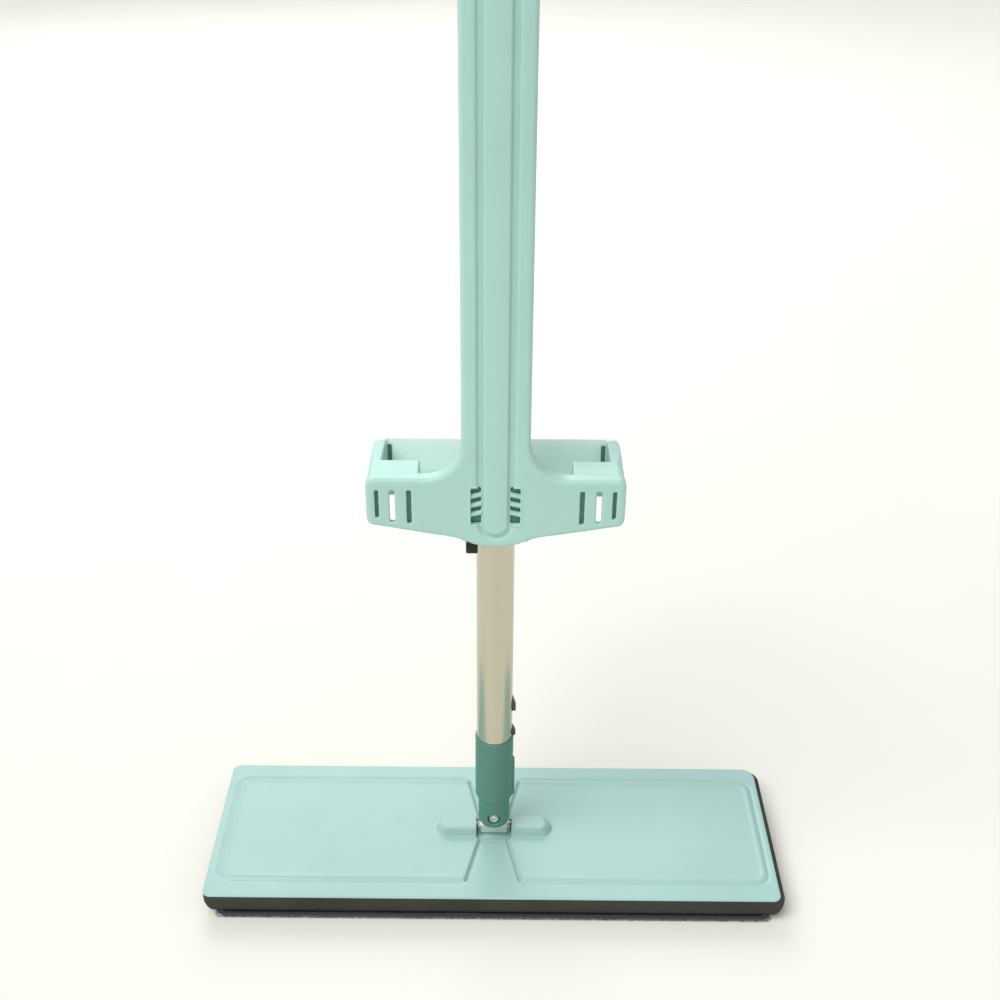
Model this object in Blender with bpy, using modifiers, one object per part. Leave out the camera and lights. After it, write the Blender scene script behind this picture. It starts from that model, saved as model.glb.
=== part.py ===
"""Flat floor mop with a slide-down wringer, as an assembly of separate pieces.

Units are metres. +Z is up, +X runs along the head and +Y points to the rear.
The origin is the centre of the pad's underside, on the floor. At rest the head
lies flat, the pole stands upright and the wringer sleeve is parked part way up.
"""
import math

import bmesh
import bpy
from mathutils import Matrix, Vector

GAP = 0.0003            # clearance between pieces that touch
PAST = 0.002            # how far a cutter runs past what it cuts
SINK = 0.001            # how far a joined solid reaches into the one that carries it
STEP = 0.0001           # keeps the faces of joined solids out of one plane

# Sides of round pieces, from the largest to the smallest
ROUND = 32
GRIP_ROUND = 28
PIN_ROUND = 24
BORE_ROUND = 20
AXLE_ROUND = 16
SCREW_ROUND = 12

# Head
HEAD_HALF = Vector((0.180, 0.0600))
HEAD_CORNER_R = 0.007
PAD_INSET = 0.0025
PAD_TOP = 0.0050
FOAM_BOTTOM = PAD_TOP + GAP
FOAM_TOP = 0.0147
FOAM_CHAMFER = 0.0035
STRIP_HALF_LENGTH = 0.150
STRIP_HALF_WIDTH = 0.010
STRIP_Y = 0.038
STRIP_THICKNESS = 0.0007
PLATE_BOTTOM = FOAM_TOP + GAP
PLATE_TOP = 0.018
PLATE_BEVEL = 0.0008
PANEL_TOP = 0.0188
PANEL_END = 0.172
PANEL_SIDE = 0.0455
PANEL_CORNER_R = 0.008
CHANNEL_WAIST = 0.0088
CHANNEL_FLARE = 0.0173

# Tilt joint: a cross pin in the plate's ridge carries the yoke bracket
PIN_Z = 0.0215
PIN_R = 0.0025
PIN_BORE_R = PIN_R + GAP
PIN_HALF = 0.0307
RIDGE_HALF = Vector((0.0382, 0.0075))
RIDGE_TOP = 0.0245
RIDGE_BEVEL = 0.003
SLOT_HALF_X = 0.0113
SLOT_HALF_Y = 0.0085
SLOT_FLOOR = 0.0166
YOKE_HALF = 0.0099
YOKE_THICKNESS = 0.003
KNUCKLE_R = 0.0043
WASHER_R = 0.0041
RETAINER_INNER = 0.0118

# Fold joint: a rivet through the connector's two ears and the yoke's blade
RIVET_Z = 0.0368
RIVET_R = 0.0020
RIVET_HEAD_R = 0.0036
RIVET_FACE_R = 0.0028
RIVET_HEAD = 0.0013
RIVET_FRONT = -0.0107
EAR_HALF_X = 0.0098
EAR_REAR = 0.0075
EAR_BOTTOM = 0.0302
EAR_SLOT_TOP = 0.0472
EAR_CORNER_R = 0.0068
EAR_OVERLAP = 0.002
CONNECTOR_R = 0.0119
CONNECTOR_SHOULDER = 0.0505
CONNECTOR_TOP = 0.0985
SPIGOT_R = 0.0098
SPIGOT_TOP = 0.136
SPIGOT_CHAMFER = 0.001
BARB_REACH = 0.0131
BARB_ROOT = 0.0068
BARB_HALF_WIDTH = 0.002
BARB_FLAT = 0.4         # share of a barb's height that keeps its full reach
BARBS = ((0.0985, 0.1055), (0.1180, 0.1282))
BARB_SLOT_MARGIN = (0.0005, 0.0008)
RIB_ROOT = 0.0089
RIB_HALF_WIDTH = 0.003
RIB_TOP = 0.0780

# Pole
TUBE_R = 0.011
TUBE_WALL = 0.0008
TUBE_JOINT = (0.7050, 0.7100)
TUBE_TOP = 1.200
JOINT_SPIGOT = 0.035
GRIP_BOTTOM = 1.080
GRIP_TOP = 1.205
GRIP_R = 0.0145
GRIP_WAIST_R = 0.0133
GRIP_FOOT_R = 0.0123
GRIP_TAPER = 0.012
GRIP_CHAMFER = (0.001, 0.003)
CAP_TOP = 1.262
CAP_RIM = 0.003
CAP_DOME = 0.012
CAP_SHOULDER = (0.0105, 0.010)
EYE_R = 0.012
EYE_FOOT_HALF = 0.0135
EYE_FOOT_SINK = 0.002
EYE_HALF_THICKNESS = 0.0045
EYE_BEVEL = 0.0012
HANG_HALF = Vector((0.0065, 0.0120))
HANG_Z = 1.236

# Wringer sleeve, channel part
SLEEVE_HALF = 0.0187
SLEEVE_FRONT = -0.017
SLEEVE_REAR = 0.015
SLEEVE_WALL = 0.0018
SLEEVE_FRONT_WALL = 0.0031
SLEEVE_CORNER_R = 0.003
SLEEVE_BOTTOM = 0.2500
SLEEVE_TOP = 0.845
RECESS_HALF = 0.010
RECESS_FOOT_R = 0.009
RECESS_SHOULDER = 0.2674
RECESS_DEPTH = 0.0016
SPINE_HALF = 0.0069
SPINE_BOTTOM = 0.2548
SPINE_PROUD = 0.0004

# Wringer sleeve, winged head
WING_HALF = 0.0712
WING_TOP = 0.2892
WING_END_BOTTOM = 0.2602
WING_MID = (0.036, 0.2540)
WING_END_CORNER = 0.003
WING_TOP_CORNER = 0.002
CHIN_BOTTOM = 0.2459
CHIN_MID = (0.010, 0.2471)
CHIN_END = (0.020, 0.2505)
WING_WALL = 0.0024
FLARE_FOOT = 0.0402
BLOCK_INNER = 0.0425
BLOCK_LEDGE = 0.0065
BLOCK_REAR = 0.0176
BLOCK_REAR_TOP = 0.266
BLOCK_WALL = 0.0022
BLOCK_SLOT_DEPTH = 0.004
BLOCK_SLOT_MARGIN = 0.0005
LEDGE_INSET = 0.6       # share of the wall that the hollow's ledge corner moves in by
SLOPE_INSET = 0.4       # and the same for the slope's lower corner
POST_INNER = 0.0640
POST_REAR = 0.0392
WING_SLOTS = ((0.0475, 0.0034, 0.2615), (0.0567, 0.0032, 0.2625), (0.0652, 0.0023, 0.2650))
WING_SLOT_TOP = 0.2826
WING_SLOT_DEPTH = 0.0034
WINDOW = (0.0081, 0.0135)
WINDOW_ROWS = 4
WINDOW_BOTTOM = 0.2614
WINDOW_PITCH = 0.0058
WINDOW_HEIGHT = 0.0038

# Rear frame and squeeze roller
FRAME_FRONT = POST_REAR + GAP
FRAME_WALL_REAR = 0.0425
FRAME_TOP = 0.284
FRAME_BOTTOM = 0.2465
FRAME_SHELF = (0.2580, 0.2605)
FRAME_SLOPE = (0.2595, 0.2645)
FRAME_POCKET_REAR = 0.0470
FRAME_REAR = 0.0495
FRAME_SLOT_X = (0.0610, 0.0634)
FRAME_SLOT_Z = (0.2665, 0.2800)
ROLLER_Y = 0.0415
ROLLER_Z = 0.2524
ROLLER_R = 0.0042
ROLLER_HALF = 0.0595
AXLE_R = 0.0015
AXLE_HALF = 0.0632
CHEEK_INNER = 0.0602
FRAME_SCREW_X = 0.0678
FRAME_SCREW_ZS = (0.2682, 0.2785)

# Screws: shank radius, head radius, face radius, head height and depth below the parting face
FRAME_SCREW = (0.0013, 0.0026, 0.0022, 0.0015, 0.0115)
COVER_SCREW = (0.0010, 0.0021, 0.0017, 0.0013, 0.0085)
SCREW_SINK = 0.0004     # overlap of shank and head
HOLE_SPARE = 0.0005     # how much deeper a screw hole is than its screw

# Slide collar, the guides that trap it and the cover over them
COLLAR = (0.6230, 0.6590)
COLLAR_BORE_R = 0.0112
COLLAR_R = 0.0129
COLLAR_WAIST_R = 0.0121
COLLAR_BAND = 0.004
COLLAR_STEP = 0.001
GUIDE_BORE_R = 0.0115
GUIDE_LENGTH = 0.016
GUIDE_HALF = 0.0166
COVER_BOTTOM = 0.600
COVER_THICKNESS = 0.0022
COVER_BEVEL = 0.0008
COVER_SCREW_X = 0.0141
SLEEVE_CAP_HEIGHT = 0.008
SLEEVE_CAP_CHAMFER = 0.0015

# Lock button
LOCK_X = (-0.0166, -0.0099)
LOCK_Y = (-0.0131, -0.0081)
LOCK_Z = (0.2397, 0.2630)
LOCK_BEVEL = 0.0006
LOCK_AXIS = Vector((-0.01325, -0.0106))
LOCK_SPRING_TOP = 0.2750
LOCK_SPRING_R = 0.0017
LOCK_WIRE_R = 0.00035
LOCK_TURNS = 5
LOCK_TURN_POINTS = 10
LOCK_SEAT_TOP = 0.2785

COLOURS = {
    "mint": ((0.40, 0.67, 0.60), 0.38, 0.0),
    "plate_mint": ((0.48, 0.75, 0.68), 0.35, 0.0),
    "teal": ((0.09, 0.27, 0.21), 0.42, 0.0),
    "stainless": ((0.58, 0.54, 0.44), 0.28, 1.0),
    "zinc_steel": ((0.66, 0.66, 0.64), 0.35, 1.0),
    "foam": ((0.048, 0.045, 0.040), 0.85, 0.0),
    "microfibre": ((0.065, 0.072, 0.105), 0.95, 0.0),
    "hook_nylon": ((0.10, 0.10, 0.11), 0.80, 0.0),
    "black": ((0.008, 0.007, 0.006), 0.45, 0.0),
    "grip_rubber": ((0.09, 0.27, 0.21), 0.70, 0.0),
    "roller": ((0.70, 0.72, 0.70), 0.50, 0.0),
}


# ---------------------------------------------------------------- scene helpers

def clear_scene():
    for obj in list(bpy.data.objects):
        bpy.data.objects.remove(obj, do_unlink=True)


def new_collection(name):
    collection = bpy.data.collections.new(name)
    bpy.context.scene.collection.children.link(collection)
    return collection


def make_materials():
    made = {}
    for name, (colour, roughness, metallic) in COLOURS.items():
        material = bpy.data.materials.new(name)
        material.use_nodes = True
        shader = material.node_tree.nodes["Principled BSDF"]
        shader.inputs["Base Color"].default_value = (*colour, 1.0)
        shader.inputs["Roughness"].default_value = roughness
        shader.inputs["Metallic"].default_value = metallic
        made[name] = material
    return made


def object_from_bmesh(bm, name):
    mesh = bpy.data.meshes.new(name)
    bm.to_mesh(mesh)
    bm.free()
    obj = bpy.data.objects.new(name, mesh)
    PARTS.objects.link(obj)
    return obj


def piece(obj, name, material, body):
    """Name a finished piece, give it its material and hang it on its body's empty."""
    obj.name = name
    obj.data.name = name
    obj.data.materials.clear()
    obj.data.materials.append(MATERIALS[material])
    obj.data.shade_smooth()
    obj.data.set_sharp_from_angle(angle=math.radians(35))
    obj.parent = BODIES[body]
    obj.matrix_parent_inverse = BODIES[body].matrix_world.inverted()
    return obj


def boolean(target, tool, operation):
    """Cut or join target with tool, which becomes a hidden helper."""
    modifier = target.modifiers.new(tool.name, "BOOLEAN")
    modifier.operation = operation
    modifier.solver = "EXACT"
    modifier.object = tool
    tool.hide_render = True
    tool.display_type = "WIRE"
    PARTS.objects.unlink(tool)
    CUTTERS.objects.link(tool)


def cut(target, *tools):
    for tool in tools:
        boolean(target, tool, "DIFFERENCE")


def join(target, *tools):
    for tool in tools:
        boolean(target, tool, "UNION")


# ---------------------------------------------------------------- shape helpers

def box(low, high):
    """A box between two corners."""
    low, high = Vector(low), Vector(high)
    bm = bmesh.new()
    bmesh.ops.create_cube(bm, size=1.0)
    size = Matrix.Diagonal((*(high - low), 1.0))
    bm.transform(Matrix.Translation((low + high) / 2) @ size)
    return object_from_bmesh(bm, "box")


def rod(start, end, radius, sides=ROUND, end_radius=None):
    """A cylinder or cone between two points."""
    start, end = Vector(start), Vector(end)
    bm = bmesh.new()
    bmesh.ops.create_cone(
        bm, cap_ends=True, segments=sides, radius1=radius,
        radius2=radius if end_radius is None else end_radius, depth=(end - start).length)
    turn = (end - start).to_track_quat("Z", "Y").to_matrix().to_4x4()
    bm.transform(Matrix.Translation((start + end) / 2) @ turn)
    return object_from_bmesh(bm, "rod")


def turned(profile, sides=ROUND):
    """A closed profile of (radius, z) points, or an open one from axis to axis, turned about Z."""
    bm = bmesh.new()
    verts = [bm.verts.new((radius, 0.0, z)) for radius, z in profile]
    for first, second in zip(verts, verts[1:]):
        bm.edges.new((first, second))
    if profile[0][0] > 0.0:
        bm.edges.new((verts[-1], verts[0]))
    obj = object_from_bmesh(bm, "turned")
    screw = obj.modifiers.new("turn", "SCREW")
    screw.axis = "Z"
    screw.steps = sides
    screw.render_steps = sides
    screw.use_merge_vertices = True
    screw.merge_threshold = 0.00001
    return obj


def arc(centre, radius, start, end, steps=6):
    """Points on an arc; the angles are in degrees."""
    angles = [math.radians(start + (end - start) * step / steps) for step in range(steps + 1)]
    return [(centre[0] + radius * math.cos(a), centre[1] + radius * math.sin(a)) for a in angles]


def rounded_rectangle(low, high, radius, steps=5):
    return (arc((high[0] - radius, high[1] - radius), radius, 0, 90, steps)
            + arc((low[0] + radius, high[1] - radius), radius, 90, 180, steps)
            + arc((low[0] + radius, low[1] + radius), radius, 180, 270, steps)
            + arc((high[0] - radius, low[1] + radius), radius, 270, 360, steps))


def mirrored(half):
    """Close an outline that starts and ends on the mirror line, by its mirror image in X."""
    return half + [(-x, z) for x, z in reversed(half) if x > 0.0]


def mesh_from_curve(curve):
    """Turn a curve object into a mesh object with welded caps."""
    bpy.context.view_layer.update()
    evaluated = curve.evaluated_get(bpy.context.evaluated_depsgraph_get())
    mesh = bpy.data.meshes.new_from_object(evaluated)
    obj = bpy.data.objects.new(curve.name, mesh)
    PARTS.objects.link(obj)
    bm = bmesh.new()
    bm.from_mesh(mesh)
    bm.transform(curve.matrix_world)
    bmesh.ops.remove_doubles(bm, verts=bm.verts, dist=0.000002)
    bmesh.ops.dissolve_limit(bm, angle_limit=math.radians(1), verts=bm.verts, edges=bm.edges)
    bmesh.ops.recalc_face_normals(bm, faces=bm.faces)
    bm.to_mesh(mesh)
    bm.free()
    bpy.data.objects.remove(curve, do_unlink=True)
    return obj


def side_span(side, inner, outer):
    """A span on the right side, or its mirror image, lowest first."""
    return (side * inner, side * outer) if side > 0 else (side * outer, side * inner)


PLANES = {
    "X": Matrix(((0, 0, 1, 0), (1, 0, 0, 0), (0, 1, 0, 0), (0, 0, 0, 1))),
    "Y": Matrix(((1, 0, 0, 0), (0, 0, -1, 0), (0, 1, 0, 0), (0, 0, 0, 1))),
    "Z": Matrix.Identity(4),
}


def prism(outline, low, high, axis):
    """A flat outline extruded along an axis: (y, z) for X, (x, z) for Y and (x, y) for Z."""
    data = bpy.data.curves.new("prism", "CURVE")
    data.dimensions = "2D"
    data.fill_mode = "BOTH"
    data.extrude = (high - low) / 2
    spline = data.splines.new("POLY")
    spline.points.add(len(outline) - 1)
    for point, (u, v) in zip(spline.points, outline):
        point.co = (u, v, 0.0, 1.0)
    spline.use_cyclic_u = True
    obj = bpy.data.objects.new("prism", data)
    obj.matrix_world = Matrix.Translation(Vector("XYZ".index(axis) * (0,) + ((low + high) / 2,)
                                                 + (2 - "XYZ".index(axis)) * (0,))) @ PLANES[axis]
    PARTS.objects.link(obj)
    return mesh_from_curve(obj)


def bevel(obj, width, segments=2, angle=40):
    modifier = obj.modifiers.new("bevel", "BEVEL")
    modifier.width = width
    modifier.segments = segments
    modifier.limit_method = "ANGLE"
    modifier.angle_limit = math.radians(angle)
    return obj


def bevel_level(obj, z, width, segments=1):
    """Bevel only the edges that lie at one height."""
    mesh = obj.data
    weights = mesh.attributes.new("bevel_weight_edge", "FLOAT", "EDGE")
    for edge in mesh.edges:
        heights = [(obj.matrix_world @ mesh.vertices[index].co).z for index in edge.vertices]
        if all(abs(height - z) < 0.00001 for height in heights):
            weights.data[edge.index].value = 1.0
    modifier = obj.modifiers.new("chamfer", "BEVEL")
    modifier.width = width
    modifier.segments = segments
    modifier.limit_method = "WEIGHT"
    return obj


# ---------------------------------------------------------------- head

def head_outline(inset=0.0):
    half = HEAD_HALF - Vector((inset, inset))
    return rounded_rectangle(-half, half, HEAD_CORNER_R - inset / 2)


def panel_outline(side):
    """One raised panel: rounded outer corners, and an inner edge that pinches in at the pin."""
    outline = (arc((PANEL_END - PANEL_CORNER_R, PANEL_SIDE - PANEL_CORNER_R), PANEL_CORNER_R, 0, 90)
               + [(CHANNEL_FLARE, PANEL_SIDE), (CHANNEL_WAIST, RIDGE_HALF.y)]
               + [(CHANNEL_WAIST, -RIDGE_HALF.y), (CHANNEL_FLARE, -PANEL_SIDE)]
               + arc((PANEL_END - PANEL_CORNER_R, PANEL_CORNER_R - PANEL_SIDE), PANEL_CORNER_R, 270, 360))
    return [(side * x, y) for x, y in outline]


def make_plate():
    plate = prism(head_outline(), PLATE_BOTTOM, PLATE_TOP, "Z")
    bevel_level(plate, PLATE_TOP, PLATE_BEVEL)
    for side in (-1, 1):
        join(plate, prism(panel_outline(side), PLATE_BOTTOM + SINK, PANEL_TOP, "Z"))
    ridge = box((-RIDGE_HALF.x, -RIDGE_HALF.y, PLATE_BOTTOM + SINK), (*RIDGE_HALF, RIDGE_TOP))
    join(plate, bevel(ridge, RIDGE_BEVEL, 3))
    slot = box((-SLOT_HALF_X, -SLOT_HALF_Y, SLOT_FLOOR), (SLOT_HALF_X, SLOT_HALF_Y, RIDGE_TOP + PAST))
    end = PIN_HALF + GAP
    trench = box((-end, -PIN_BORE_R, PLATE_BOTTOM - PAST), (end, PIN_BORE_R, PIN_Z))
    cut(plate, slot, trench, rod((-end, 0, PIN_Z), (end, 0, PIN_Z), PIN_BORE_R))
    piece(plate, "plate_cover", "plate_mint", "head")


def make_head():
    pad = prism(head_outline(PAD_INSET), 0.0, PAD_TOP, "Z")
    piece(pad, "microfibre_pad", "microfibre", "head")

    foam = bevel_level(prism(head_outline(), FOAM_BOTTOM, FOAM_TOP, "Z"), FOAM_BOTTOM, FOAM_CHAMFER)
    for name, y in (("hook_strip_front", -STRIP_Y), ("hook_strip_rear", STRIP_Y)):
        low = Vector((-STRIP_HALF_LENGTH, y - STRIP_HALF_WIDTH, FOAM_BOTTOM))
        high = Vector((STRIP_HALF_LENGTH, y + STRIP_HALF_WIDTH, FOAM_BOTTOM + STRIP_THICKNESS))
        piece(box(low, high), name, "hook_nylon", "head")
        margin = Vector((GAP, GAP, 0))
        cut(foam, box(low - margin - Vector((0, 0, PAST)), high + margin + Vector((0, 0, GAP))))
    piece(foam, "foam_base", "foam", "head")

    make_plate()
    pin = rod((-PIN_HALF, 0, PIN_Z), (PIN_HALF, 0, PIN_Z), PIN_R)
    piece(pin, "pivot_pin", "zinc_steel", "head")
    for name, side in (("pin_retainer_left", -1), ("pin_retainer_right", 1)):
        inner, outer = side_span(side, RETAINER_INNER, PIN_HALF)
        clip = box((inner, -PIN_R, PLATE_BOTTOM), (outer, PIN_R, PIN_Z - PIN_R - GAP))
        piece(clip, name, "plate_mint", "head")


# ---------------------------------------------------------------- yoke

def make_yoke():
    blade_outline = ([(-YOKE_HALF, PIN_Z), (YOKE_HALF, PIN_Z)]
                     + arc((0, RIVET_Z), YOKE_HALF, 0, 180, 16))
    blade = prism(blade_outline, -YOKE_THICKNESS / 2, YOKE_THICKNESS / 2, "Y")
    join(blade, rod((-YOKE_HALF, 0, PIN_Z), (YOKE_HALF, 0, PIN_Z), KNUCKLE_R, PIN_ROUND))
    past = YOKE_HALF + PAST
    cut(blade,
        rod((-past, 0, PIN_Z), (past, 0, PIN_Z), PIN_BORE_R),
        rod((0, -past, RIVET_Z), (0, past, RIVET_Z), RIVET_R + GAP, BORE_ROUND))
    piece(blade, "yoke_bracket", "zinc_steel", "yoke")
    for name, side in (("pivot_washer_left", -1), ("pivot_washer_right", 1)):
        inner = side * (YOKE_HALF + GAP)
        outer = side * (SLOT_HALF_X - GAP)
        washer = rod((inner, 0, PIN_Z), (outer, 0, PIN_Z), WASHER_R, PIN_ROUND)
        cut(washer, rod((inner - side * PAST, 0, PIN_Z), (outer + side * PAST, 0, PIN_Z), PIN_BORE_R))
        piece(washer, name, "black", "yoke")


# ---------------------------------------------------------------- pole

def barb(low, high):
    """A snap barb: flat at its lower end and thinning to nothing at its upper end."""
    outline = [(BARB_ROOT, low), (BARB_REACH, low), (BARB_REACH, low + (high - low) * BARB_FLAT),
               (TUBE_R, high), (BARB_ROOT, high)]
    return prism(outline, -BARB_HALF_WIDTH, BARB_HALF_WIDTH, "Y")


def make_connector():
    body = turned([(0.0, SPIGOT_TOP), (SPIGOT_R - SPIGOT_CHAMFER, SPIGOT_TOP),
                   (SPIGOT_R, SPIGOT_TOP - SPIGOT_CHAMFER), (SPIGOT_R, CONNECTOR_TOP),
                   (CONNECTOR_R, CONNECTOR_TOP), (CONNECTOR_R, CONNECTOR_SHOULDER),
                   (0.0, CONNECTOR_SHOULDER)])
    overlap = CONNECTOR_SHOULDER + EAR_OVERLAP
    corner = (EAR_HALF_X - EAR_CORNER_R, EAR_BOTTOM + EAR_CORNER_R)
    ears_outline = mirrored([(0.0, overlap), (EAR_HALF_X, overlap)]
                            + arc(corner, EAR_CORNER_R, 0, -90) + [(0.0, EAR_BOTTOM)])
    ears = prism(ears_outline, -CONNECTOR_R - PAST, EAR_REAR, "Y")
    round_front = rod((0, 0, EAR_BOTTOM - PAST), (0, 0, overlap + PAST), CONNECTOR_R - STEP)
    boolean(ears, round_front, "INTERSECT")
    join(body, ears)
    rib = box((RIB_ROOT, -RIB_HALF_WIDTH, CONNECTOR_SHOULDER + STEP), (BARB_REACH, RIB_HALF_WIDTH, RIB_TOP))
    join(body, rib, *[barb(low, high) for low, high in BARBS])
    slot_half = YOKE_THICKNESS / 2 + GAP
    past = CONNECTOR_R + PAST
    sink = RIVET_HEAD_R + GAP
    cut(body,
        box((-past, -slot_half, EAR_BOTTOM - PAST), (past, slot_half, EAR_SLOT_TOP)),
        rod((0, -past, RIVET_Z), (0, past, RIVET_Z), RIVET_R + GAP, BORE_ROUND),
        rod((0, -past, RIVET_Z), (0, RIVET_FRONT + RIVET_HEAD + GAP, RIVET_Z), sink, PIN_ROUND),
        rod((0, EAR_REAR - RIVET_HEAD - GAP, RIVET_Z), (0, past, RIVET_Z), sink, PIN_ROUND))
    piece(body, "socket_connector", "teal", "pole")

    inset = RIVET_HEAD / 2
    rivet = rod((0, RIVET_FRONT + inset, RIVET_Z), (0, EAR_REAR - inset, RIVET_Z), RIVET_R, BORE_ROUND)
    for face, inward in ((RIVET_FRONT, RIVET_HEAD), (EAR_REAR, -RIVET_HEAD)):
        head = rod((0, face + inward, RIVET_Z), (0, face, RIVET_Z), RIVET_HEAD_R, PIN_ROUND, RIVET_FACE_R)
        join(rivet, head)
    piece(rivet, "clevis_rivet", "zinc_steel", "pole")


def tube_section(low, high):
    inner = TUBE_R - TUBE_WALL
    return turned([(inner, high), (TUBE_R, high), (TUBE_R, low), (inner, low)])


def make_pole():
    make_connector()
    lower = tube_section(CONNECTOR_TOP + GAP, TUBE_JOINT[0])
    half = BARB_HALF_WIDTH + GAP
    for low, high in BARBS:
        cut(lower, box((BARB_ROOT + SINK, -half, low - BARB_SLOT_MARGIN[0]),
                       (BARB_REACH + PAST, half, high + BARB_SLOT_MARGIN[1])))
    piece(lower, "tube_lower", "stainless", "pole")
    piece(tube_section(TUBE_JOINT[1], TUBE_TOP), "tube_upper", "stainless", "pole")

    spigot = TUBE_R - TUBE_WALL - GAP - STEP
    low, high = TUBE_JOINT[0] + GAP, TUBE_JOINT[1] - GAP
    joint = turned([(0.0, high + JOINT_SPIGOT), (spigot, high + JOINT_SPIGOT), (spigot, high),
                    (TUBE_R, high), (TUBE_R, low), (spigot, low), (spigot, low - JOINT_SPIGOT),
                    (0.0, low - JOINT_SPIGOT)])
    piece(joint, "tube_joint", "teal", "pole")

    bore = TUBE_R + GAP
    grip = turned([(bore, GRIP_TOP), (GRIP_R - GRIP_CHAMFER[0], GRIP_TOP),
                   (GRIP_R, GRIP_TOP - GRIP_CHAMFER[1]), (GRIP_WAIST_R, (GRIP_TOP + GRIP_BOTTOM) / 2),
                   (GRIP_R, GRIP_BOTTOM + GRIP_TAPER), (GRIP_FOOT_R, GRIP_BOTTOM),
                   (bore, GRIP_BOTTOM)], GRIP_ROUND)
    piece(grip, "hand_grip", "grip_rubber", "pole")

    low = GRIP_TOP + GAP
    cap = turned([(0.0, low + CAP_DOME), (CAP_SHOULDER[0], low + CAP_SHOULDER[1]),
                  (GRIP_R, low + CAP_RIM), (GRIP_R, low), (0.0, low)], GRIP_ROUND)
    foot = low + EYE_FOOT_SINK
    eye = arc((0, CAP_TOP - EYE_R), EYE_R, 0, 180, 12) + [(-EYE_FOOT_HALF, foot), (EYE_FOOT_HALF, foot)]
    join(cap, bevel(prism(eye, -EYE_HALF_THICKNESS, EYE_HALF_THICKNESS, "Y"), EYE_BEVEL, 1, 60))
    hole = rounded_rectangle((-HANG_HALF.x, HANG_Z - HANG_HALF.y), (HANG_HALF.x, HANG_Z + HANG_HALF.y),
                             HANG_HALF.x - STEP)
    past = EYE_HALF_THICKNESS + PAST
    cut(cap, prism(hole, -past, past, "Y"))
    piece(cap, "end_cap", "teal", "pole")


# ---------------------------------------------------------------- wringer sleeve

def channel_outline():
    """The sleeve's C section, open at the rear: thick in front, thin at the sides."""
    inner = SLEEVE_HALF - SLEEVE_WALL
    front_inner = SLEEVE_FRONT + SLEEVE_FRONT_WALL
    radius = SLEEVE_CORNER_R
    half = ([(inner, front_inner), (inner, SLEEVE_REAR), (SLEEVE_HALF, SLEEVE_REAR)]
            + arc((SLEEVE_HALF - radius, SLEEVE_FRONT + radius), radius, 0, -90, 4))
    return half + [(-x, y) for x, y in reversed(half)]


def wing_outline():
    """The winged front wall: chin, wings and the concave flare up into the channel."""
    radius = FLARE_FOOT - SLEEVE_HALF + STEP
    half = ([(0.0, CHIN_BOTTOM), CHIN_MID, CHIN_END, WING_MID,
             (WING_HALF - WING_END_CORNER, WING_END_BOTTOM), (WING_HALF, WING_END_BOTTOM + WING_END_CORNER),
             (WING_HALF, WING_TOP - WING_TOP_CORNER), (WING_HALF - WING_TOP_CORNER, WING_TOP)]
            + arc((FLARE_FOOT, WING_TOP + radius), radius, 270, 180, 8) + [(0.0, WING_TOP + radius)])
    return mirrored(half)


def block_outline(inset):
    """Side view of the guide block behind a wing: ledge, then a lead-in slope to the slot."""
    bottom = WING_END_BOTTOM + STEP if inset == 0.0 else WING_END_BOTTOM - PAST
    front = SLEEVE_FRONT + 5 * STEP + inset
    top = WING_TOP - STEP - inset
    return [(front, bottom), (front, top), (BLOCK_LEDGE - inset * LEDGE_INSET, top),
            (BLOCK_REAR - inset, BLOCK_REAR_TOP - inset * SLOPE_INSET), (BLOCK_REAR - inset, bottom)]


def post_outline():
    """Side view of the end post that carries the rear frame."""
    front = SLEEVE_FRONT + 7 * STEP
    bottom = WING_END_BOTTOM + 2 * STEP
    top = WING_TOP - 2 * STEP
    return [(front, bottom), (front, top), (BLOCK_LEDGE, top), (POST_REAR, FRAME_TOP), (POST_REAR, bottom)]


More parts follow.
